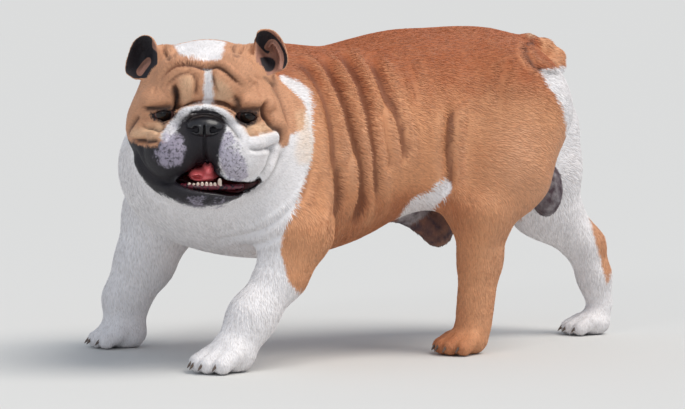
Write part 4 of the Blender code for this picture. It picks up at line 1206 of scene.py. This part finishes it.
def coat_colour(plan):
    """The dog's markings with its painted shade and light, for its skin and for the hair that grows from it."""
    place = plan.node("ShaderNodeTexCoord", {}, {}, "Object")
    waver = plan.noise(70.0, 3.0, place=place) - 0.5
    fine = plan.noise(420.0, 2.0, place=place) - 0.5
    broad = plan.noise(14.0, 2.0, place=place) - 0.5
    share = plan.field("rust") + waver * 0.30 + fine * 0.14 + broad * 0.30
    colour = plan.mixed(plan.eased(share, -0.30, 0.35), FACE_TAN, FAWN)
    colour = plan.mixed(plan.eased(share, 0.20, 1.00), colour, RUST)
    # painted shade in the folds
    colour = plan.mixed(plan.eased(plan.field("folds"), 0.1, 1.1) * 0.72, colour, FOLD_SHADE_BROWN)
    white = plan.eased(plan.field("white") + waver * 0.007 + fine * 0.005, -0.0022, 0.0022)
    colour = plan.mixed(white, colour, WHITE_FUR)
    pale = plan.field("pale")
    colour = plan.mixed(pale * (0.55 + waver * 0.6), colour, CREAM)
    black = plan.eased(plan.field("black") + waver * 0.012 + fine * 0.008, -0.0024, 0.0024)
    colour = plan.mixed(black, colour, BLACK_FUR)
    lilac = plan.field("lilac")
    patchy = plan.noise(310.0, 4.0, 0.7, place=place)
    colour = plan.mixed(plan.eased(lilac * (1.0 + waver * 2.6 + fine * 1.6), 0.30, 0.90) * 0.74, colour, LILAC)
    colour = plan.mixed(lilac * plan.eased(patchy, 0.50, 0.61) * 0.68, colour, BLACK_FUR)
    colour = plan.mixed(plan.field("dusky") * (0.92 + waver), colour, DUSKY_SKIN_AND_SHADE)
    colour = plan.mixed(plan.field("pink") * 0.8, colour, EAR_PINK)
    colour = plan.mixed(plan.eased(plan.field("hollow"), 0.05, 0.55), colour, BLACK_FUR)
    colour = plan.mixed(plan.field("shade"), colour, CREASE_BROWN)
    return plan.mixed(plan.field("mouth"), colour, MOUTH_RED)


skin_finish, plan, shader = finish("skin and short hair")
plan.link(shader, "Base Color", coat_colour(plan))
plan.link(shader, "Roughness", 0.72 - plan.field("wet") * 0.45)
hair_grain = plan.noise(900.0, 3.0, 0.6)
plan.link(shader, "Normal", plan.node(
    "ShaderNodeBump", {}, {"Strength": 0.35, "Distance": 0.001, "Height": hair_grain}
))
skin.data.materials.append(skin_finish)


# The eyes
# A dark brown eye sits deep between its lids on each side: a ball with a clear bulge over the
# iris, wet all over, with a thin reddish rim where the white shows.

IRIS_RADIUS = 0.0088
PUPIL_RADIUS = 0.0036
CORNEA_RISE = 0.0011

for side, out in (("left", 1), ("right", -1)):
    low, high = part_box("eye_" + side)
    centre = np.array((low + high) / 2)
    form = bmesh.new()
    bmesh.ops.create_uvsphere(form, u_segments=48, v_segments=32, radius=1.0)
    gaze = axes_of(65.0 + 4.0 * out, 3.0, 0.0)
    for vert in form.verts:
        local = np.array(vert.co)
        away = math.acos(max(-1.0, min(1.0, local[2])))
        rise = CORNEA_RISE * max(0.0, math.cos(min(away / 0.62, 1.0) * math.pi / 2)) ** 1.2
        radius = EYE_RADIUS - 0.0002 + rise
        place = centre + radius * (local[2] * gaze[0] + local[0] * gaze[1] + local[1] * gaze[2])
        vert.co = Vector(place)
    mesh = bpy.data.meshes.new("eye_ball_" + side)
    bmesh.ops.recalc_face_normals(form, faces=form.faces)
    form.to_mesh(mesh)
    form.free()
    mesh.shade_smooth()
    eye = bpy.data.objects.new("eye_ball_" + side, mesh)
    bpy.context.scene.collection.objects.link(eye)
    front = np.array([np.array(v.co) - centre for v in mesh.vertices])
    across = np.linalg.norm(front - (front @ gaze[0])[:, None] * gaze[0], axis=1)
    across = np.where(front @ gaze[0] > 0, across, 0.0135)
    give(mesh, "from_pupil", across)
    material, plan, shader = finish("dark brown eye " + side)
    span = plan.field("from_pupil")
    iris = plan.mixed(plan.eased(span, PUPIL_RADIUS, IRIS_RADIUS), tone(34, 20, 13), tone(16, 10, 9))
    white = plan.mixed(plan.eased(span, IRIS_RADIUS, IRIS_RADIUS + 0.0010), iris, tone(96, 66, 62))
    pupil = plan.eased(span, PUPIL_RADIUS - 0.0006, PUPIL_RADIUS + 0.0004)
    plan.link(shader, "Base Color", plan.mixed(pupil, tone(5, 4, 4), white))
    plan.link(shader, "Roughness", 0.05)
    plan.link(shader, "Specular IOR Level", 0.32)
    mesh.materials.append(material)
    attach(eye, "root")
    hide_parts("eye_" + side)


# The nose
# A broad black pad of bare wet leather, pebbled, with two comma-shaped nostrils that open out to
# the sides and a groove down its middle. It is set deep between the flews.

NOSTRIL = ((0.036, 0.0105, -0.0125), (0.012, 0.0042, 0.0048))
NOSTRIL_SLIT = ((0.033, 0.0180, -0.0135), (0.010, 0.0080, 0.0020))
NOSE_GROOVE = ((0.036, 0.0, -0.0160), (0.008, 0.0014, 0.0120))


def nose_form(p):
    q = in_head_frame(p)
    q[:, 1] = np.abs(q[:, 1])
    form = ball(q, *NOSE)
    for hollow in (NOSTRIL, NOSTRIL_SLIT, NOSE_GROOVE):
        form = carved(form, ball(q, *hollow), 0.0015)
    return form


def from_head(local):
    return HEAD_PLACE + np.asarray(local) @ HEAD_AXES


near_nose = np.array((0.040, 0.040, 0.030))
places, ring = surface(
    nose_form, from_head(NOSE[0]) - near_nose, from_head(NOSE[0]) + near_nose, 0.0011, ()
)
places = settled(nose_form, places, 0.0006)
nose = mesh_piece("nose_leather", places, plain_faces(ring))
material, plan, shader = finish("black nose leather")
plan.link(shader, "Base Color", tone(26, 24, 28))
plan.link(shader, "Roughness", 0.32)
plan.link(shader, "Coat Weight", 0.25)
pebble = plan.node("ShaderNodeTexVoronoi", {}, {
    "Vector": plan.node("ShaderNodeTexCoord", {}, {}, "Object"), "Scale": 900.0}, "Distance")
plan.link(shader, "Normal", plan.node(
    "ShaderNodeBump", {}, {"Strength": 0.5, "Distance": 0.0004, "Height": pebble}
))
nose.data.materials.append(material)
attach(nose, "root")
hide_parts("nose")


# The tongue
# A thick wet tongue lies in the open mouth behind the lower teeth, its tip arched up against the
# lips, with a shallow groove down the middle.

TONGUE = (
    ((0.002, -0.0010, -0.0720), (0.0300, 0.0185, 0.0080), 0.004),
    ((0.004, 0.0050, -0.0640), (0.0290, 0.0085, 0.0105), 0.005),
    ((0.004, -0.0100, -0.0690), (0.0290, 0.0090, 0.0062), 0.005),
)
TONGUE_HOLLOWS = (
    ((0.034, -0.0080, -0.0712), (0.014, 0.0062, 0.0026)),
    ((0.014, 0.0040, -0.0540), (0.030, 0.0012, 0.0030)),
)


def tongue_form(p):
    q = in_head_frame(p)
    form = ball(q, *TONGUE[0][:2])
    for centre, radii, melt in TONGUE[1:]:
        form = joined(form, ball(q, centre, radii), melt)
    for hollow_place in TONGUE_HOLLOWS:
        form = carved(form, ball(q, *hollow_place), 0.003)
    return form + 0.0005


near_tongue = np.array((0.045, 0.045, 0.030))
places, ring = surface(
    tongue_form, from_head(TONGUE[0][0]) - near_tongue, from_head(TONGUE[0][0]) + near_tongue, 0.0011, ()
)
tongue = mesh_piece("tongue_flesh", settled(tongue_form, places, 0.0006), plain_faces(ring))
material, plan, shader = finish("wet tongue")
blush = plan.noise(120.0, 3.0)
plan.link(shader, "Base Color", plan.mixed(blush, tone(196, 74, 78), tone(222, 110, 112)))
plan.link(shader, "Roughness", 0.3)
plan.link(shader, "Coat Weight", 0.4)
plan.link(shader, "Normal", plan.node(
    "ShaderNodeBump", {}, {"Strength": 0.4, "Distance": 0.0004, "Height": plan.noise(1500.0, 2.0)}
))
tongue.data.materials.append(material)
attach(tongue, "root")
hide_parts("tongue")


# The teeth
# Six small lower front teeth stand like beads in a wet gum before the tongue, with a blunt corner
# tooth at each end and a cheek tooth further back. They are ivory, worn flat at the edge.

TEETH_FORWARD = 0.0365
TEETH_ARC = 14.0
GUM_LINE = -0.0785
GUM_RADIUS = 0.0037
# Each tooth: how far to the side, its edge's height, and its half width
TEETH = (
    (-0.0165, -0.0765, 0.0024), (-0.0112, -0.0768, 0.0022), (-0.0062, -0.0755, 0.0023),
    (-0.0012, -0.0748, 0.0023), (0.0040, -0.0746, 0.0024), (0.0090, -0.0752, 0.0023),
    (0.0138, -0.0755, 0.0023), (0.0195, -0.0708, 0.0029), (0.0345, -0.0815, 0.0027),
)


def tooth(form, base, tip, base_radii, tip_radii, sides=10, rings=5):
    """One tooth: rings from its root to its edge, closed at both ends."""
    base, tip = np.asarray(base, float), np.asarray(tip, float)
    corners = []
    for ring in range(rings + 1):
        t = ring / rings
        swell = math.sqrt(max(0.0, 1.0 - (max(0.0, t - 0.7) / 0.32) ** 2))
        radii = (np.asarray(base_radii) * (1 - t) + np.asarray(tip_radii) * t) * swell
        centre = base + (tip - base) * t
        loop = []
        for i in range(sides):
            turn = 2 * math.pi * i / sides
            place = centre + (radii[0] * math.cos(turn), radii[1] * math.sin(turn), 0.0)
            loop.append(form.verts.new(from_head(place) - MIDDLE))
        corners.append(loop)
    for lower, upper in zip(corners, corners[1:]):
        for i in range(sides):
            j = (i + 1) % sides
            form.faces.new((lower[i], lower[j], upper[j], upper[i]))
    form.faces.new(corners[0][::-1])
    form.faces.new(corners[-1])


form = bmesh.new()
for aside, edge, half_width in TEETH:
    ahead_by = TEETH_FORWARD - TEETH_ARC * aside**2
    gum_up = GUM_LINE - 0.10 * max(0.0, abs(aside) - 0.014)
    tooth(
        form, (ahead_by - 0.001, aside, gum_up - 0.004), (ahead_by, aside * 1.01, edge),
        (0.0020, half_width), (0.0014, half_width * 0.86),
    )
bmesh.ops.recalc_face_normals(form, faces=form.faces)
mesh = bpy.data.meshes.new("lower_teeth")
form.to_mesh(mesh)
form.free()
mesh.shade_smooth()
teeth = bpy.data.objects.new("lower_teeth", mesh)
bpy.context.scene.collection.objects.link(teeth)
material, plan, shader = finish("ivory")
plan.link(shader, "Base Color", plan.mixed(plan.noise(300.0), tone(230, 212, 200), tone(206, 178, 158)))
plan.link(shader, "Roughness", 0.3)
plan.link(shader, "Coat Weight", 0.3)
mesh.materials.append(material)
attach(teeth, "root")

gum_line = [
    (TEETH_FORWARD - 0.002 - TEETH_ARC * a**2, a, GUM_LINE - 0.0030 - 0.10 * max(0.0, abs(a) - 0.014))
    for a in np.linspace(-0.026, 0.037, 14)
]
gum_line.append((0.004, 0.045, GUM_LINE - 0.006))


def gum_form(p):
    return path_distance(in_head_frame(p), smooth_path(gum_line)) - GUM_RADIUS


near_gum = np.array((0.050, 0.050, 0.022))
places, ring = surface(
    gum_form, from_head(gum_line[7]) - near_gum, from_head(gum_line[7]) + near_gum, 0.0014, ()
)
gum = mesh_piece("lower_gum", settled(gum_form, places, 0.0006), plain_faces(ring))
material, plan, shader = finish("wet gum")
mottle = plan.eased(plan.noise(240.0, 3.0), 0.48, 0.60)
plan.link(shader, "Base Color", plan.mixed(mottle, tone(104, 38, 50), tone(36, 20, 30)))
plan.link(shader, "Roughness", 0.25)
gum.data.materials.append(material)
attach(gum, "root")


# The claws
# Four short blunt claws on each paw, of dark horn, thick at the root, curved down and worn at the
# tip. They grow out of the ends of the toes just clear of the floor.

CLAW_LENGTH = 0.0155
CLAW_RADIUS = 0.0042
CLAW_RINGS = 8

form = bmesh.new()
for name, (place, point, size) in PAWS.items():
    axes = axes_of(point, 0.0, 0.0)
    for across in TOES:
        root = toe_tip(across) + (0.002, 0.0, 0.0035)
        loops = []
        for ring in range(CLAW_RINGS + 1):
            t = ring / CLAW_RINGS
            centre = root + np.array((t - 0.10 * t * t, 0.03 * across * t, -0.15 * t - 0.45 * t * t)) * CLAW_LENGTH
            radius = CLAW_RADIUS * (1.0 - 0.72 * t**1.3) * math.sqrt(max(0.02, 1.0 - max(0.0, t - 0.85) ** 2 / 0.0235))
            loop = []
            for i in range(10):
                turn = 2 * math.pi * i / 10
                local = centre + (0.0, 0.72 * radius * math.cos(turn), radius * math.sin(turn))
                local[2] = max(local[2], 0.0006)
                loop.append(form.verts.new(np.asarray(place) + (local * size) @ axes - MIDDLE))
            loops.append(loop)
        for lower, upper in zip(loops, loops[1:]):
            for i in range(10):
                j = (i + 1) % 10
                form.faces.new((lower[i], lower[j], upper[j], upper[i]))
        form.faces.new(loops[0][::-1])
        form.faces.new(loops[-1])
bmesh.ops.recalc_face_normals(form, faces=form.faces)
mesh = bpy.data.meshes.new("claws")
form.to_mesh(mesh)
form.free()
mesh.shade_smooth()
claws = bpy.data.objects.new("claws", mesh)
bpy.context.scene.collection.objects.link(claws)
material, plan, shader = finish("dark horn")
plan.link(shader, "Base Color", plan.mixed(plan.noise(220.0), tone(70, 58, 52), tone(120, 104, 92)))
plan.link(shader, "Roughness", 0.38)
mesh.materials.append(material)
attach(claws, "root")


# The coat
# Short fine hair lies flat all over, from the nose back over the head, along the trunk to the tail
# and down the legs: shortest on the face and feet. It is laid as thin tapered tufts that overlap
# like thatch, each rooted in the skin and coloured by the marking at its root.

# One tuft, as long, wide and high as 1: its corners, and its faces
TUFT_CORNERS = (
    (0.00, -0.30, -0.30), (0.00, 0.30, -0.30), (0.00, 0.00, 0.15),
    (0.45, -0.50, 0.50), (0.45, 0.50, 0.50), (0.45, 0.00, 1.00),
    (1.00, 0.00, 0.70),
)
TUFT_FACES = (
    (0, 2, 1), (0, 1, 4), (0, 4, 3), (1, 2, 5), (1, 5, 4), (2, 0, 3), (2, 3, 5),
    (3, 4, 6), (4, 5, 6), (5, 3, 6),
)
# How wide a tuft's own patch is on the coat's unwrap
TUFT_PATCH = 0.003
# No tuft reaches lower than this above the floor
LOWEST_TUFT = 0.0003
# Each stretch of the coat: the name of a part of the model, which nothing reads, the gap between tufts,
# and their length, width and rise, in metres
COATS = {
    "coat_face_left": ("head", 0.00122, 0.0034, 0.00082, 0.00036),
    "coat_face_right": ("head", 0.00122, 0.0034, 0.00082, 0.00036),
    "coat_head": ("head", 0.00165, 0.0052, 0.00115, 0.00050),
    "coat_neck_left": ("neck", 0.00210, 0.0078, 0.00140, 0.00060),
    "coat_neck_right": ("neck", 0.00220, 0.0078, 0.00145, 0.00060),
    "coat_side_left": ("torso", 0.00220, 0.0084, 0.00145, 0.00062),
    "coat_side_right": ("torso", 0.00225, 0.0084, 0.00150, 0.00062),
    "coat_rump_left": ("torso", 0.00220, 0.0082, 0.00145, 0.00062),
    "coat_rump_right": ("torso", 0.00220, 0.0082, 0.00145, 0.00062),
    "coat_legs_front": ("leg_front_left", 0.00195, 0.0066, 0.00130, 0.00055),
    "coat_legs_hind": ("leg_hind_left", 0.00195, 0.0066, 0.00130, 0.00055),
    "coat_paws": ("paw_front_left", 0.00165, 0.0042, 0.00110, 0.00045),
}
# The unwrap of the skin's shape, a square this many metres across, with each part's corner on it
UNWRAP_SIDE = 1.42
TRUNK_AXIS_UP = 0.275
TRUNK_ROUND = 0.130
HEAD_ROUND = 0.090
LEG_ROUND = 0.045
HEAD_MIDDLE = (0.86, 0.30)


def laid(direction, normals):
    """A direction laid along the surface, one unit long."""
    direction = direction - np.sum(direction * normals, axis=1)[:, None] * normals
    return direction / (np.linalg.norm(direction, axis=1)[:, None] + 1e-9)


leg_share = eased(0.235 - z, 0.0, 0.07)
back = np.tile((0.0, 1.0, -0.40), (len(z), 1))
down = np.tile((0.0, 0.12, -1.0), (len(z), 1))
from_nose = (head_places - (0.045, 0.0, -0.004)) @ HEAD_AXES
from_nose /= np.linalg.norm(from_nose, axis=1)[:, None]
head_share = eased(0.17 - np.linalg.norm(skin_places - HEAD_PLACE, axis=1), 0.0, 0.05)
lie = back * (1.0 - leg_share)[:, None] + down * leg_share[:, None]
lie = lie * (1.0 - head_share)[:, None] + from_nose * head_share[:, None]
give(skin.data, "lie", laid(lie, skin_normals))

bald = np.maximum(wet, 0.8 * np.max([hollow, pink, dusky], axis=0))
nose_gap = ball(head_places, *NOSE)
bald = np.maximum(bald, eased(-nose_gap, -0.0020, 0.0) * (head_places[:, 0] > 0.0))
give(skin.data, "hair", 1.0 - np.clip(bald, 0.0, 1.0))
near_lids = np.max([face_areas((np.array(o) / MM,)) for o in EYE_OPENINGS], axis=0)
shortness = np.maximum(0.72 * ear_skin, 0.45 * eased(near_lids, -0.010, -0.001))
shortness = np.maximum(shortness, 0.45 * eased(mouth_edge, -0.012, -0.003) * (ahead > MOUTH_BACK))
shortness = np.maximum(shortness, 0.35 * eased(-nose_gap, -0.010, 0.0))
give(skin.data, "short", 1.0 - shortness)

face_zone = (head_places[:, 0] > -0.045) & (on_head > 0.5) & (head_places[:, 2] < 0.060)
head_zone = (on_head > 0.0) & ~face_zone
zone = np.where(y < 0.045, 3, np.where(y < 0.215, 5, 7)) + (x < 0)
zone = np.where((z < 0.175) & (y < 0.02), 9, zone)
zone = np.where((z < 0.215) & (y > 0.24), 10, zone)
zone = np.where(z < 0.055, 11, zone)
zone = np.where(head_zone, 2, np.where(face_zone, (head_places[:, 1] < 0) * 1, zone))

corners = skin.data.loops
loop_vertex = np.zeros(len(corners), np.int32)
corners.foreach_get("vertex_index", loop_vertex)
starts = np.zeros(len(skin.data.polygons), np.int32)
skin.data.polygons.foreach_get("loop_start", starts)
totals = np.zeros(len(starts), np.int32)
skin.data.polygons.foreach_get("loop_total", totals)
face_of = np.repeat(np.arange(len(starts)), totals)
first = loop_vertex[starts]
piece = skin.data.attributes.new("stretch", "INT", "FACE")
piece.data.foreach_set("value", zone[first].astype(np.int32))

# Each part unrolls round its own axis; a face keeps to one side of the cut that opens the roll
part = np.where(zone[first] < 3, 1, 0)
part = np.where((z[first] < 0.19) & (y[first] < 0.02) & (part == 0), np.where(x[first] > 0, 2, 3), part)
part = np.where((z[first] < 0.06) & (y[first] < 0.10) & (part == 0), np.where(x[first] > 0, 2, 3), part)
part = np.where((z[first] < 0.22) & (y[first] > 0.24) & (part == 0), np.where(x[first] > 0, 4, 5), part)
part = np.where((z[first] < 0.06) & (part == 0), np.where(x[first] > 0, 4, 5), part)
spots = np.zeros((len(loop_vertex), 2))
for number in range(6):
    faces_here = part == number
    loops_here = faces_here[face_of]
    at = skin_places[loop_vertex[loops_here]]
    base = skin_places[first[face_of[loops_here]]]

    def rolled(places):
        if number == 0:
            return np.arctan2(places[:, 0], TRUNK_AXIS_UP - places[:, 2]), places[:, 1]
        if number == 1:
            q = in_head_frame(places)
            return np.arctan2(q[:, 1], q[:, 2]), np.arctan2(
                np.hypot(q[:, 1], q[:, 2]), q[:, 0] + 0.07
            )
        middle = ((0.145, -0.060), (-0.160, -0.090), (0.096, 0.285), (-0.062, 0.480))[number - 2]
        return np.arctan2(places[:, 0] - middle[0], places[:, 1] - middle[1]), places[:, 2]

    turn, along = rolled(at)
    base_turn, _ = rolled(base)
    if number == 1:
        radius = along * HEAD_ROUND
        spots[loops_here] = np.stack(
            (HEAD_MIDDLE[0] + 0.28 + radius * np.sin(turn), HEAD_MIDDLE[1] + radius * np.cos(turn)), axis=1
        )
        continue
    turn = base_turn + (turn - base_turn + math.pi) % (2 * math.pi) - math.pi
    if number == 0:
        spots[loops_here] = np.stack((0.50 + turn * TRUNK_ROUND, 0.20 + along), axis=1)
    else:
        spots[loops_here] = np.stack(
            (0.20 + 0.32 * (number - 2) + turn * LEG_ROUND, 1.10 + along), axis=1
        )
unwrap = skin.data.attributes.new("unwrap", "FLOAT2", "CORNER")
unwrap.data.foreach_set("vector", (spots / UNWRAP_SIDE).astype(np.float32).ravel())

tuft_mesh = bpy.data.meshes.new("tuft")
tuft_mesh.from_pydata(TUFT_CORNERS, [], TUFT_FACES)
patch = tuft_mesh.attributes.new("patch", "FLOAT_VECTOR", "POINT")
patch.data.foreach_set("vector", np.array([
    (TUFT_PATCH * (corner[0] - 0.5), TUFT_PATCH * corner[1], 0.0) for corner in TUFT_CORNERS
], np.float32).ravel())
tuft = bpy.data.objects.new("tuft", tuft_mesh)

coat_finish, plan, shader = finish("short smooth coat")
hair_colour = coat_colour(plan)
strand = plan.field("strand")
plan.link(shader, "Base Color", plan.mixed(
    1.0, hair_colour, plan.mixed(strand, (0.80, 0.78, 0.76, 1.0), (1.12, 1.10, 1.08, 1.0)), "MULTIPLY"
))
plan.link(shader, "Roughness", 0.55)

grown = bpy.data.node_groups.new("coat", "GeometryNodeTree")
sizes = {}
for name, kind in (
    ("Skin", "Geometry"), ("Stretch", "Int"), ("Gap", "Float"), ("Length", "Float"),
    ("Width", "Float"), ("Rise", "Float"), ("Stray", "Float"), ("Seed", "Int"),
    ("Tuft", "Object"), ("Finish", "Material"),
):
    sizes[name] = grown.interface.new_socket(name=name, in_out="INPUT", socket_type="NodeSocket" + kind)
grown.interface.new_socket(name="Coat", in_out="OUTPUT", socket_type="NodeSocketGeometry")
plan = Plan(grown)
asked = plan.tree.nodes.new("NodeGroupInput")
given = {name: Value(plan, asked.outputs[name]) for name in sizes}


def stored(name, kind="FLOAT"):
    return plan.node("GeometryNodeInputNamedAttribute", {"data_type": kind}, {"Name": name})


def chance(low, high, step):
    return plan.node("FunctionNodeRandomValue", {"data_type": "FLOAT"}, {
        "Min": low, "Max": high, "Seed": given["Seed"] + step,
    })


here = plan.node("FunctionNodeCompare", {"data_type": "INT", "operation": "EQUAL"}, {
    "A": stored("stretch", "INT"), "B": given["Stretch"],
})
stretch = plan.node("GeometryNodeSeparateGeometry", {"domain": "FACE"}, {
    "Geometry": given["Skin"], "Selection": here,
})
roots = plan.tree.nodes.new("GeometryNodeDistributePointsOnFaces")
roots.distribute_method = "POISSON"
plan.link(roots, "Mesh", stretch)
plan.link(roots, "Distance Min", given["Gap"])
plan.link(roots, "Density Max", 3.0 / (given["Gap"] * given["Gap"]))
plan.link(roots, "Density Factor", stored("hair"))
plan.link(roots, "Seed", given["Seed"])
upward = Value(plan, roots.outputs["Normal"])
points = plan.node("GeometryNodeStoreNamedAttribute", {"data_type": "FLOAT_VECTOR", "domain": "POINT"}, {
    "Geometry": Value(plan, roots.outputs["Points"]), "Name": "upward", "Value": upward,
})
points = plan.node("GeometryNodeStoreNamedAttribute", {"data_type": "FLOAT", "domain": "POINT"}, {
    "Geometry": points, "Name": "strand", "Value": chance(0.0, 1.0, 5),
})
turned = plan.node("FunctionNodeAxesToRotation", {"primary_axis": "Z", "secondary_axis": "X"}, {
    "Primary Axis": upward, "Secondary Axis": stored("lie", "FLOAT_VECTOR"),
})
swing = plan.node("ShaderNodeCombineXYZ", {}, {
    "X": chance(-0.2, 0.2, 6), "Y": chance(-0.03, 0.02, 1), "Z": chance(0.0 - given["Stray"], given["Stray"], 2),
})
turned = plan.node("FunctionNodeRotateRotation", {"rotation_space": "LOCAL"}, {
    "Rotation": turned,
    "Rotate By": plan.node("FunctionNodeEulerToRotation", {}, {"Euler": swing}),
})
scale = plan.node("ShaderNodeCombineXYZ", {}, {
    "X": given["Length"] * chance(0.75, 1.2, 3) * stored("short"),
    "Y": given["Width"] * chance(0.8, 1.2, 4) * (0.4 + stored("short") * 0.6),
    "Z": given["Rise"] * chance(0.7, 1.2, 7),
})
tufts = plan.node("GeometryNodeInstanceOnPoints", {}, {
    "Points": points,
    "Instance": plan.node("GeometryNodeObjectInfo", {}, {"Object": given["Tuft"]}, "Geometry"),
    "Rotation": turned,
    "Scale": scale,
})
coat = plan.node("GeometryNodeRealizeInstances", {}, {"Geometry": tufts})
spread = plan.node("ShaderNodeSeparateXYZ", {}, {"Vector": plan.node("GeometryNodeInputPosition")}, "Z")
over_floor = plan.node("ShaderNodeMath", {"operation": "MAXIMUM"}, {0: LOWEST_TUFT - spread, 1: 0.0})
coat = plan.node("GeometryNodeSetPosition", {}, {
    "Geometry": coat, "Offset": plan.node("ShaderNodeCombineXYZ", {}, {"Z": over_floor}),
})
bent = plan.node("ShaderNodeVectorMath", {"operation": "SCALE"}, {0: stored("upward", "FLOAT_VECTOR"), "Scale": 3.0})
own = plan.node("GeometryNodeInputNormal")
bent = plan.node("ShaderNodeVectorMath", {"operation": "ADD"}, {0: bent, 1: own})
bent = plan.node("ShaderNodeVectorMath", {"operation": "NORMALIZE"}, {0: bent})
coat = plan.node("GeometryNodeSetMeshNormal", {"mode": "FREE", "domain": "POINT"}, {
    "Mesh": coat, "Custom Normal": bent,
})
spot = plan.node("ShaderNodeVectorMath", {"operation": "ADD"}, {
    0: stored("unwrap", "FLOAT_VECTOR"), 1: stored("patch", "FLOAT_VECTOR"),
})
coat = plan.node("GeometryNodeStoreNamedAttribute", {"data_type": "FLOAT2", "domain": "CORNER"}, {
    "Geometry": coat, "Name": "OFBake", "Value": spot,
})
coat = plan.node("GeometryNodeSetMaterial", {}, {"Geometry": coat, "Material": given["Finish"]})
answer = plan.tree.nodes.new("NodeGroupOutput")
plan.link(answer, "Coat", coat)

for number, (name, (slot, gap, length, width, rise)) in enumerate(COATS.items()):
    grower = bpy.data.objects.new(name, skin.data)
    bpy.context.scene.collection.objects.link(grower)
    growth = grower.modifiers.new("coat", "NODES")
    growth.node_group = grown
    for key, value in (
        ("Stretch", number), ("Gap", gap), ("Length", length), ("Width", width), ("Rise", rise),
        ("Stray", 0.22), ("Seed", 40 + 11 * number), ("Tuft", tuft), ("Finish", coat_finish),
    ):
        growth[sizes[key].identifier] = value
    bpy.context.view_layer.update()
    shown = grower.evaluated_get(bpy.context.evaluated_depsgraph_get())
    mesh = bpy.data.meshes.new_from_object(shown)
    mesh.name = name
    grower.modifiers.clear()
    grower.data = mesh
    for unused in ("id", "upward", "patch", "lie", "stretch", "unwrap", "hair", "short"):
        if unused in mesh.attributes:
            mesh.attributes.remove(mesh.attributes[unused])
    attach(grower, "root")
bpy.data.objects.remove(tuft)
